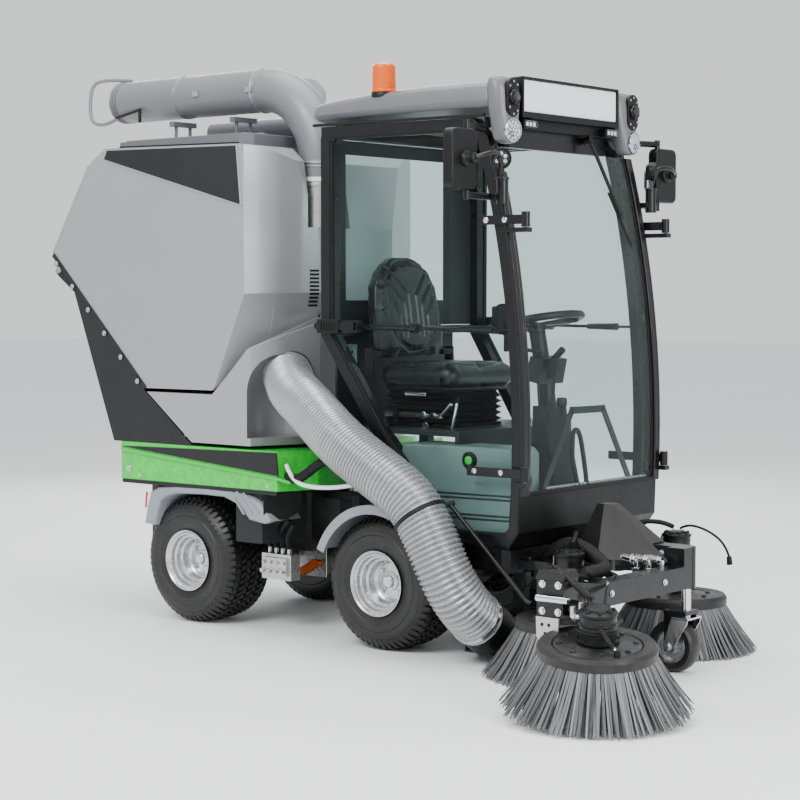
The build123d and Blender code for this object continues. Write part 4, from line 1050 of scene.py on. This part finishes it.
sign = Shape()
sign.prism(rounded(-303, 303, 1922, 2066, 6, 3), 470, 520, "yz")
for y0, y1, z0, z1 in pts("-303,303,2056,2066 -303,303,1922,1944 -303,-293,1944,2056 293,303,1944,2056"):
    sign.box(518, 530, y0, y1, z0, z1)
sign.box(470, 500, -300, 300, 1886, 1922)
sign.piece("sign_frame", PLASTIC, CAB, bevel=2, segments=3)
Shape().prism(rounded(-292, 292, 1945, 2055, 4, 3), 519, 523, "yz").piece(
    "sign_blank_plate", WHITE, CAB, bevel=1)

# beacon: ribbed amber lens on its base
lens = Shape()
rows = pts("0.5,0 46,0 47,4 45,8")
for k in range(12):
    rows += [(45 - 0.2 * k, 10 + 7 * k), (43.4 - 0.2 * k, 13.5 + 7 * k)]
rows += pts("41,96 34,102 20,105 0.5,106")
lens.lathe(rows, (-10, -418, 2034), UP, 48)
lens.piece("beacon_lens", AMBER, CAB, bevel=0, sharp=25, replaces=("beacon",))
Shape().lathe("0.5,0 46,0 46,14 42,20 0.5,20", (-10, -418, 2016), UP, 48).piece(
    "beacon_base", PLASTIC, CAB, bevel=1.5)

# ---------------------------------------------------------------- cab interior


def tapered_box(s, x0, x1, y0, y1, levels):
    """Rounded rectangles at several heights, each grown or shrunk, skinned together."""
    return s.loft([[(a, b, z) for a, b in rounded(x0 - grow, x1 + grow, y0 - grow, y1 + grow, 34, 5)]
                   for z, grow in levels])


bellows = Shape()
levels = [(809, 6), (818, 8)]
for k in range(5):
    z = 822 + 22 * k
    levels += [(z, -8), (z + 6, 0), (z + 11, 9), (z + 16, 0)]
levels += [(936, -8), (941, -4)]
tapered_box(bellows, -168, 138, -228, 108, levels)
bellows.piece("seat_bellows", RUBBER, CAB, bevel=0, sharp=60, replaces=("seat_base",))
chassis = Shape()
chassis.box(-150, 120, -250, -236, 846, 862)
chassis.rod((120, -246, 856), (168, -246, 900), 7)
chassis.rod((-40, -252, 934), (60, -252, 934), 11)
chassis.bolt((40, -252, 856), OUTWARD, 12, 12)
chassis.bolt((90, -252, 856), OUTWARD, 8, 9)
chassis.rod((60, -240, 815), (60, -268, 815), 16)
chassis.rod((172, -246, 812), (196, -246, 912), 6)
chassis.piece("seat_suspension_parts", CHROME, CAB, bevel=1)
tubes("seat_levers", ["-90,-250,812 -92,-262,850 -90,-266,890", [(196, -246, 906), (200, -248, 926)]], 7,
      PLASTIC, CAB)


def puff(ob, voxel, cap):
    """Remesh a pad and let pressure fill it, with each point held within cap of where it began."""
    scene = bpy.context.scene
    mod = ob.modifiers.new("remesh", "REMESH")
    mod.mode = "VOXEL"
    mod.voxel_size = voxel
    bpy.context.view_layer.update()
    rest = bpy.data.meshes.new_from_object(ob.evaluated_get(bpy.context.evaluated_depsgraph_get()))
    ob.modifiers.clear()
    ob.data = rest
    start = [v.co.copy() for v in rest.vertices]
    cloth = ob.modifiers.new("cloth", "CLOTH")
    cloth.settings.use_pressure = True
    cloth.settings.uniform_pressure_force = 4.0
    cloth.settings.effector_weights.gravity = 0.0
    cloth.settings.quality = 5
    cloth.point_cache.frame_start = 1
    cloth.point_cache.frame_end = 20
    for number in range(1, 21):
        scene.frame_set(number)
    done = bpy.data.meshes.new_from_object(ob.evaluated_get(bpy.context.evaluated_depsgraph_get()))
    ob.modifiers.clear()
    for v, at in zip(done.vertices, start):
        moved = v.co - at
        if moved.length > cap:
            v.co = at + moved * (cap / moved.length)
    ob.data = done
    scene.frame_set(1)


def groove(ob, lines, flat, lift, depth, width):
    """Press sewn channels into a pad: flat gives a vertex's place on the pad, lift its push direction."""
    spans = [(Vector(a), Vector(b)) for line in lines for a, b in zip(line, line[1:])]
    for v in ob.data.vertices:
        p = v.co * 1000.0 - SHIFT
        place, facing = flat(p)
        if not facing:
            continue
        near = 1e9
        for a, b in spans:
            ab = b - a
            t = max(0.0, min(1.0, (place - a).dot(ab) / ab.length_squared))
            near = min(near, (place - a - ab * t).length)
        if near < 3 * width:
            v.co += lift * (depth * math.exp(-(near / width) ** 2) / 1000.0)


def upholster(pad, body, node):
    """Smooth a puffed pad; say what it rides on and which node it replaces."""
    pad.modifiers.new("round", "SUBSURF").levels = 1
    pad.modifiers["round"].render_levels = 1
    pad.data.shade_smooth()
    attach(pad, body)
    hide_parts(node)


SEAT_Y = -60.0
BACK_FOOT_Z, BACK_RISE = 1054, 402
PUFF_VOXEL, PUFF_CAP = 0.006, 0.012
back = Shape()
rows = []
for t, half, thick in pts("0.0,150,52 0.03,178,70 0.1,198,86 0.25,207,92 0.5,206,88 0.7,192,80 0.84,160,70 "
                          "0.93,118,58 0.98,76,44 1.0,44,28"):
    z = BACK_FOOT_Z + BACK_RISE * t
    mid_x = -188 - 52 * t
    ring = []
    for c, q in around(28, 1):
        y = half * superpower(q, 0.62)
        bolster = 12 * max(0.0, abs(y) / half - 0.55) / 0.45
        x = (thick / 2) * superpower(c, 0.62) + (bolster if c > 0 else 0)
        ring.append((mid_x + x * 0.86, SEAT_Y + y, z))
    rows.append(ring)
back.loft(rows)
back_pad = back.piece("seat_back_pad", VINYL, None, bevel=0, sharp=0)
puff(back_pad, PUFF_VOXEL, PUFF_CAP)


def on_back(p):
    t = (p.z - BACK_FOOT_Z) / BACK_RISE
    return Vector((p.y - SEAT_Y, p.z - BACK_FOOT_Z)), p.x > -188 - 52 * t + 8


lines = []
for sign_y in (-1, 1):
    for outer_y, inner_y, high, bend, low in pts("118,22,352,250,96 128,52,300,214,88 132,82,246,172,92"):
        lines.append([(sign_y * outer_y, high), (sign_y * inner_y, bend), (sign_y * inner_y * 0.92, low)])
for height, half_w, half_h, first, last, count in ((205, 156, 172, 0, 360, 32), (96, 96, 52, 180, 360, 12)):
    lines.append([(half_w * a, height + half_h * b) for a, b in arc(0, 0, 1, first, last, count)])
groove(back_pad, lines, on_back, Vector((-1, 0, 0)), 9.0, 5.5)
upholster(back_pad, "seat_backrest", "seat_back")

cushion = Shape()
rows = []
for z, grow, front in pts("962,-14,0 972,-4,2 996,0,6 1018,-2,4 1032,-12,-2 1038,-30,-12"):
    ring = []
    for a, b in rounded(-182, 188, -216, 216, 52, 7):
        nose = front * max(0.0, a) / 188
        dip = 0.0 if z < 1030 else -3.0 * max(0.0, 1 - (abs(b) / 150) ** 2)
        ring.append((a * (1 + grow / 188) + nose, SEAT_Y + b * (1 + grow / 216), z + dip))
    rows.append(ring)
cushion.loft(rows)
cushion_pad = cushion.piece("seat_cushion_pad", VINYL, None, bevel=0, sharp=0)
puff(cushion_pad, PUFF_VOXEL, PUFF_CAP)
rim_line = [(158 * superpower(math.cos(a), 0.55), 182 * superpower(math.sin(a), 0.55)) for a
            in [2 * math.pi * k / 40 for k in range(41)]]
groove(cushion_pad, [rim_line, [(-60, -168), (-60, 168)], [(60, -172), (60, 172)]],
       lambda p: (Vector((p.x, p.y - SEAT_Y)), p.z > 1020), Vector((0, 0, -1)), 8.0, 5.5)
upholster(cushion_pad, "seat", "seat_cushion")
pan = Shape()
tapered_box(pan, -150, 150, -240, 120, pts("944,4 950,8 966,8 968,4"))
pan.prism(rounded(20, 150, 970, 1000, 12, 4), -290, -276)
pan.piece("seat_pan", PLASTIC, "seat", bevel=2)
ears = Shape()
for y, y0, y1 in ((-306, -300, -246), (174, 124, 180)):
    ears.prism("-196,990 -156,990 -160,1100 -200,1100", y, y + 12)
    ears.rod((-176, y - 4, 1010), (-176, y + 16, 1010), 15)
    ears.box(-200, -160, y0, y1, 1070, 1090)
ears.piece("seat_recliner", PLASTIC, "seat_backrest", bevel=1.5)

# tank in the right sill, with its cap and moulded grooves
tank = Shape()
side_line = pts("74,728 330,446 540,442 562,466 562,742 540,764 90,764 74,752")
tank.loft([[(x, on_side(x, SILL_SKIN), z) for x, z in side_line], [(x, -236, z) for x, z in side_line]])
tank.piece("side_tank_body", TANK, CAB, bevel=12, segments=4, replaces=("side_tank",))
grooves = Shape()
for z, x0 in pts("592,226 578,238 520,290 506,302"):
    lip = [(x0, z), (545, z), (545, z + 6), (x0 - 6, z + 6)]
    grooves.loft([[(x, on_side(x, -30.5), y) for x, y in lip], [(x, on_side(x, -36), y) for x, y in lip]])
grooves.piece("side_tank_grooves", TUB, CAB, bevel=1.5)
Shape().lathe("0.5,0 30,0 30,8 24,10 24,14 17,14 17,10 0.5,10", (372, on_side(372, -36), 716), (0.07, -1, 0),
              40).piece(
    "side_tank_cap", PLASTIC, CAB, bevel=1)
Shape().lathe("0.5,8 16,8 15,13 8,16 0.5,16.5", (372, on_side(372, -36), 716), (0.07, -1, 0), 32).piece(
    "side_tank_button", GREEN, CAB, bevel=0)
Shape().prism("-240,1118 -150,1118 -146,960 -112,906", -408, -404).piece(
    "rear_corner_panel", TANK, CAB, bevel=1.5)
dots = Shape()
for k in range(4):
    dots.rod((-172, -408.4, 1090 - 42 * k), (-172, -407, 1090 - 42 * k), 6)
dots.piece("rear_corner_holes", RUBBER, CAB, bevel=0)

display = Shape()
display.prism(rounded(-372, -236, 1168, 1262, 8, 4), 446, 468, "yz")
display.rod((458, -300, 1100), (458, -300, 1170), 9)
display.piece("display_housing", PLASTIC, CAB, bevel=4, segments=3)
Shape().prism(rounded(-362, -246, 1178, 1252, 4, 3), 444, 447, "yz").piece(
    "display_screen", RUBBER, CAB, bevel=1)
stalk = Shape()
stalk.prism(rounded(-116, -64, 1020, 1072, 10, 4), 462, 548, "yz")
stalk.rod((500, -84, 1060), (560, -96, 1106), 11, 13)
stalk.rod((500, -92, 1018), (500, -92, 1000), 10)
stalk.lathe("0.5,0 13,0 15,8 15,26 11,32 0.5,33", (474, -60, 896), UP, 24)
stalk.piece("column_stalk", PLASTIC, CAB, bevel=2)
tubes("column_cable", ["520,-92,1018 540,-120,960 530,-128,900 520,-126,840", "470,-122,1010 476,-130,930 "
                       "486,-128,870"], 5, RUBBER, CAB)
knob = Shape()
knob.rod((556, -96, 870), (556, -96, 905), 7)
knob.lathe("0.5,0 17,0 19,6 19,26 15,32 0.5,33", (556, -96, 900), UP, 28)
knob.piece("drive_selector_knob", PLASTIC, CAB, bevel=1)

guard = Shape()
corners = pts("-270,616 -100,888 99,886 275,615")
for (ay, az), (by, bz) in zip(corners, corners[1:]):
    a, b = Vector((ay, az)), Vector((by, bz))
    d = (b - a).normalized() * 10
    m = Vector((-d.y, d.x)) * 1.3
    guard.prism([tuple(p) for p in (a - d - m, b + d - m, b + d + m, a - d + m)], 600, 606, "yz")
guard.bolts([(606, y, z) for y, z in corners], AHEAD, 8, 6)
guard.piece("windscreen_guard_frame", GRAPHITE, CAB, bevel=1.5)
tubes("windscreen_rubber_loop", ["604,-98,690 604,-98,780 604,-92,812 604,-70,820 604,-52,800 606,-40,760 "
                                 "608,-14,640 608,-10,585 606,-28,566 606,-52,572 606,-66,620 604,-98,720"],
      9, RUBBER, CAB)
Shape().prism(rounded(-270, 380, 604, 626, 6, 3), 600, 614, "yz").piece(
    "windscreen_ledge", STEEL, CAB, bevel=1.5)

# ---------------------------------------------------------------- front brush gear


def motor(place, low, high, r, name, body):
    """Hydraulic brush motor: flanges, cast ribs, cap with a bolt circle and two port fittings."""
    s = Shape(place)
    mid = (low + high) / 2
    s.lathe([(0.5, low), (r + 12, low), (r + 12, low + 9), (r + 3, low + 12), (r + 3, mid - 14),
             (r + 9, mid - 12), (r + 9, mid - 5), (r + 2, mid - 2), (r + 2, mid + 8), (r + 6, mid + 10),
             (r + 6, mid + 17), (r + 2, mid + 20), (r + 2, high - 8), (r + 5, high - 6), (r + 5, high + 2),
             (r - 2, high + 6), (r - 16, high + 8), (r - 18, high + 14), (0.5, high + 15)], (0, 0, 0), UP, 56)
    s.bolts([(x, y, high + 5) for x, y in around(8, r - 8)], UP, 6.5, 9)
    s.bolts([(x, y, low + 9) for x, y in around(8, r + 7)], UP, 5, 7)
    s.piece(f"motor_{name}", PLASTIC, body, bevel=0.8)
    s = Shape(place)
    for a in (2.2, 2.9):
        d = Vector((math.cos(a), math.sin(a), 0))
        p = d * r + Vector((0, 0, mid + 24))
        s.rod(p, p + d * 22, 9)
        s.bolt(p + d * 14, d, 12, 10)
        s.rod(p + d * 22, p + d * 22 + Vector((0, 0, 34)), 8)
    s.piece(f"motor_fittings_{name}", STEEL, body, bevel=0.8)


motor(brush_place("third"), 209, 300, 56, "third", "swing_third")
for which, x, y in (("right", 802, -400), ("left", 802, 290)):
    motor(Matrix.Translation((x, y, 0)), 282, 420, 50, which, f"swing_{which}")

arm = Shape()
arm.bolts([(x, -931, z) for x in (1070, 1130) for z in (318, 402)], OUTWARD, 10, 7)
arm.bolts([(1123, y, 340) for y in (-760, -620, -300)], AHEAD, 9, 6)
arm.bolts([(x, -144, 413) for x in (860, 940, 1010)], OUTWARD, 9, 6)
arm.bolt((1098, -890, 421), UP, 14, 9)
arm.rod((1060, -946, 360), (1180, -946, 360), 11)
arm.piece("arm_bolts", CHROME, "swing_third", bevel=0.8)
Shape().prism("1050,300 1052,236 1072,214 1118,214 1136,240 1136,300", -938, -932).piece(
    "arm_zinc_plate", STEEL, "swing_third", bevel=1.2)
holes = Shape()
for x, z in pts("1074,276 1100,276 1086,248 1112,244 1100,226"):
    holes.rod((x, -938.6, z), (x, -937, z), 6)
holes.piece("arm_plate_holes", RUBBER, "swing_third", bevel=0)
cover = Shape()
cover.prism("1044,418 1152,418 1140,446 1060,446", -936, -846)
cover.prism("-846,400 -700,380 -700,374 -846,376", 1050, 1126, "yz")
cover.piece("arm_box_cover", HOOD, "swing_third", bevel=4, segments=3)
fittings = Shape()
for x, y in ((1004, -236), (1046, -216), (960, -250)):
    fittings.rod((x, y, 400), (x - 40, y + 4, 404), 11)
    fittings.bolt((x, y, 400), AHEAD, 14, 12)
    fittings.rod((x + 12, y, 400), (x + 12, y, 366), 9)
    fittings.bolt((x + 12, y, 372), (0, 0, -1), 12, 10)
fittings.piece("arm_hose_fittings", CHROME, "swing_third", bevel=1)
tubes("arm_hoses", ["1016,-236,366 1030,-300,350 1044,-480,352 1040,-700,396 1060,-830,440 1180,-880,392 "
                    "1226,-880,362", "1058,-216,366 1030,-330,340 1030,-520,344 1026,-720,380 1050,-870,460 "
                    "1170,-920,420 1222,-906,372", "972,-250,366 1010,-320,320 1020,-500,326 1014,-700,350 "
                    "1030,-850,430 1060,-900,452"], 9, RUBBER, "swing_third")
tubes("spray_lines", ["1070,-520,384 1120,-640,380 1190,-760,330 1210,-800,296", "1180,-850,390 "
                      "1290,-990,330 1380,-1010,262 1400,-1010,232"], 4.5, RUBBER, "swing_third")
rods = Shape()
rods.rod((1120, -640, 376), (1206, -796, 300), 5)
rods.rod((1300, -990, 324), (1396, -1010, 240), 5)
rods.piece("spray_rods", STEEL, "swing_third", bevel=0)
tips = Shape()
for at in ((1212, -804, 282), (1402, -1011, 216)):
    tips.rod(at, (at[0], at[1], at[2] + 26), 11, 9)
tips.piece("spray_nozzles", PLASTIC, "swing_third", bevel=1)
tips = Shape()
for at in ((1212, -804, 276), (1402, -1011, 210)):
    tips.rod(at, (at[0], at[1], at[2] + 7), 8)
tips.piece("spray_nozzle_tips", YELLOW, "swing_third", bevel=1)
tubes("left_spray_line", ["836,262,448 880,240,470 960,250,452 1010,290,400 1020,300,350"], 4.5, RUBBER,
      "swing_left")
Shape().rod((1021, 301, 326), (1019, 299, 356), 11, 9).piece(
    "left_spray_nozzle", PLASTIC, "swing_left", bevel=1)


def bundle(name, points, radius, pitch, depth, mat):
    """A ribbed or wrapped line, riding on no body, with its transform baked in."""
    line = along(route_points(pts(points)), 3.0)

    def skin(d):
        return radius - depth * (0.5 + 0.5 * math.cos(2 * math.pi * d / pitch))
    ob = swept(Shape(), line, skin, 24).piece(name, mat, None, bevel=0, sharp=0)
    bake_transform(ob)


bundle("hose_bundle_right", "560,-240,330 640,-270,400 720,-300,452 840,-330,430 930,-360,380 1010,-500,390 "
       "1040,-640,400", 24, 14, 3, RUBBER)
bundle("hose_bundle_low", "560,-180,300 660,-220,350 760,-262,372 880,-300,352 1000,-420,360", 14, 9, 1.5,
       RUBBER)
tubes("deck_hoses", ["540,-60,330 600,-120,420 700,-210,470 780,-330,470 800,-380,450", "540,60,330 "
                     "600,140,420 700,200,470 780,240,470 800,270,450", "540,-20,300 620,-60,380 "
                     "690,-120,400", "540,20,300 630,0,390 700,-60,400"], 9, RUBBER, "lift_deck")

CASTER_HUB = (1043, -107, 92)
fork = Shape()
fork.rod((1088, -107, 190), (1088, -107, 297), 16.5)
fork.lathe("0.5,0 26,0 26,8 0.5,8", (1088, -107, 186), UP, 30)
for y in (-152, -66):
    fork.prism("1056,194 1122,194 1118,176 1062,84 1040,74 1026,84 1026,104 1050,176", y, y + 4)
fork.box(1056, 1122, -152, -62, 190, 196)
fork.bolt((1043, -152, 92), OUTWARD, 12, 9)
fork.bolt((1043, -62, 92), (0, 1, 0), 12, 9)
fork.piece("caster_fork_plates", CHROME, "caster", bevel=1.2)
Shape().lathe("58,-20 60,-30 68,-33 80,-33.5 87,-27 91,-14 91.8,0 91,14 87,27 80,33.5 68,33 60,30 58,20",
              CASTER_HUB, OUTWARD, 64).piece(
    "caster_tyre", TYRE, "caster_roll", bevel=0, sharp=40, replaces=("caster_wheel",))
Shape().lathe("9,-30 20,-30 24,-12 46,-9 52,-21 60,-21 60,21 52,21 46,9 24,12 20,30 9,30", CASTER_HUB,
              OUTWARD, 56).piece(
    "caster_hub", RIM, "caster_roll", bevel=0.8)

seams = Shape().bolts("720,-226,398 800,-238,398 900,-216,398 980,-186,398", (0.3, -0.9, 0.3), 7, 5)
seams.piece("hood_bolts", CHROME, "swing_third", bevel=0.5)

# ---------------------------------------------------------------- hose strap, stay rod, conduit


def nearest(point):
    target = Vector(point)
    return min(stations, key=lambda item: (item[1] - target).length)


band = nearest((300, -583, 530))
strap = Shape()
strap.lathe("94,-9 100,-8 101,0 100,8 94,9", band[1], band[2], 64)
strap.rod(band[1] + Vector((40, 92, 36)), band[1] + Vector((60, 118, 44)), 9)
strap.piece("hose_strap", RUBBER, CAB, bevel=1)
clamp = Shape()
end_band = stations[-14]
clamp.lathe("94,-8 99.5,-8 99.5,8 94,8", end_band[1], end_band[2], 64)
clamp.piece("hose_clamp", CHROME, CAB, bevel=0.8)
stay_rod = Shape()
stay_rod.rod((350, -478, 560), (668, -462, 250), 8)
stay_rod.rod((668, -462, 250), (690, -462, 244), 8)
stay_rod.piece("hose_stay_rod", GRAPHITE, CAB, bevel=1)
bundle("conduit", "-440,-470,620 -380,-500,600 -320,-500,630 -250,-490,690 -190,-470,700 -140,-440,680", 19,
       9, 3, RUBBER)
bundle("water_line", "-430,-490,660 -380,-512,600 -300,-512,586 -180,-508,588 -60,-500,610 0,-470,640", 8,
       400, 0, WHITE)

# ---------------------------------------------------------------- floor, light and camera

floor_mesh = bpy.data.meshes.new("floor")
floor_mesh.from_pydata(pts("-40,-40,0 40,-40,0 40,40,0 -40,40,0"), [], [(0, 1, 2, 3)])
floor = link(bpy.data.objects.new("floor", floor_mesh))
paper = Nodes("floor_paper")
sheen = paper.add("ShaderNodeBsdfPrincipled", {"Roughness": 0.9})
paper.link(paper.mix(paper.noise(0.6, 3.0), rgb(238, 239, 240), rgb(246, 246, 247)),
           sheen.inputs["Base Color"])
paper.link(sheen.outputs[0], paper.out.inputs[0])
floor_mesh.materials.append(paper.mat)

world = bpy.data.worlds.new("studio")
world.use_nodes = True
sky = world.node_tree.nodes["Background"].inputs
sky["Color"].default_value = (0.97, 0.98, 1.0, 1.0)
sky["Strength"].default_value = 1.05
bpy.context.scene.world = world


def softbox(name, place, target, size, power):
    data = bpy.data.lights.new(name, "AREA")
    data.shape = "RECTANGLE"
    data.size, data.size_y = size
    data.energy = power
    ob = link(bpy.data.objects.new(name, data))
    ob.location = place
    ob.rotation_euler = (Vector(target) - Vector(place)).to_track_quat("-Z", "Y").to_euler()


softbox("key", (0.5, -5.0, 5.2), (-0.2, 0.2, 0.9), (3.5, 2.5), 330)
softbox("front", (5.4, -1.2, 3.0), (0.3, 0.2, 0.8), (2.2, 3.0), 190)
softbox("overhead", (-0.3, 0.4, 5.8), (-0.3, 0.3, 1.0), (5.0, 4.0), 260)
softbox("back", (-4.5, 4.0, 3.5), (0.0, 0.3, 1.2), (3.0, 3.0), 160)

LENS_MM, TURN_DEG, TILT_DEG = 88.15, 39.73, 3.11
EYE_AT = (4.736502, -5.62517, 1.30596)
cam = bpy.data.cameras.new("camera")
cam.lens = LENS_MM
cam.sensor_width = 36
cam.clip_end = 200
eye = link(bpy.data.objects.new("camera", cam))
eye.location = EYE_AT
turn, tilt = math.radians(TURN_DEG), math.radians(TILT_DEG)
look = Vector((-math.sin(turn) * math.cos(tilt), math.cos(turn) * math.cos(tilt), -math.sin(tilt)))
eye.rotation_euler = look.to_track_quat("-Z", "Y").to_euler()
bpy.context.scene.camera = eye
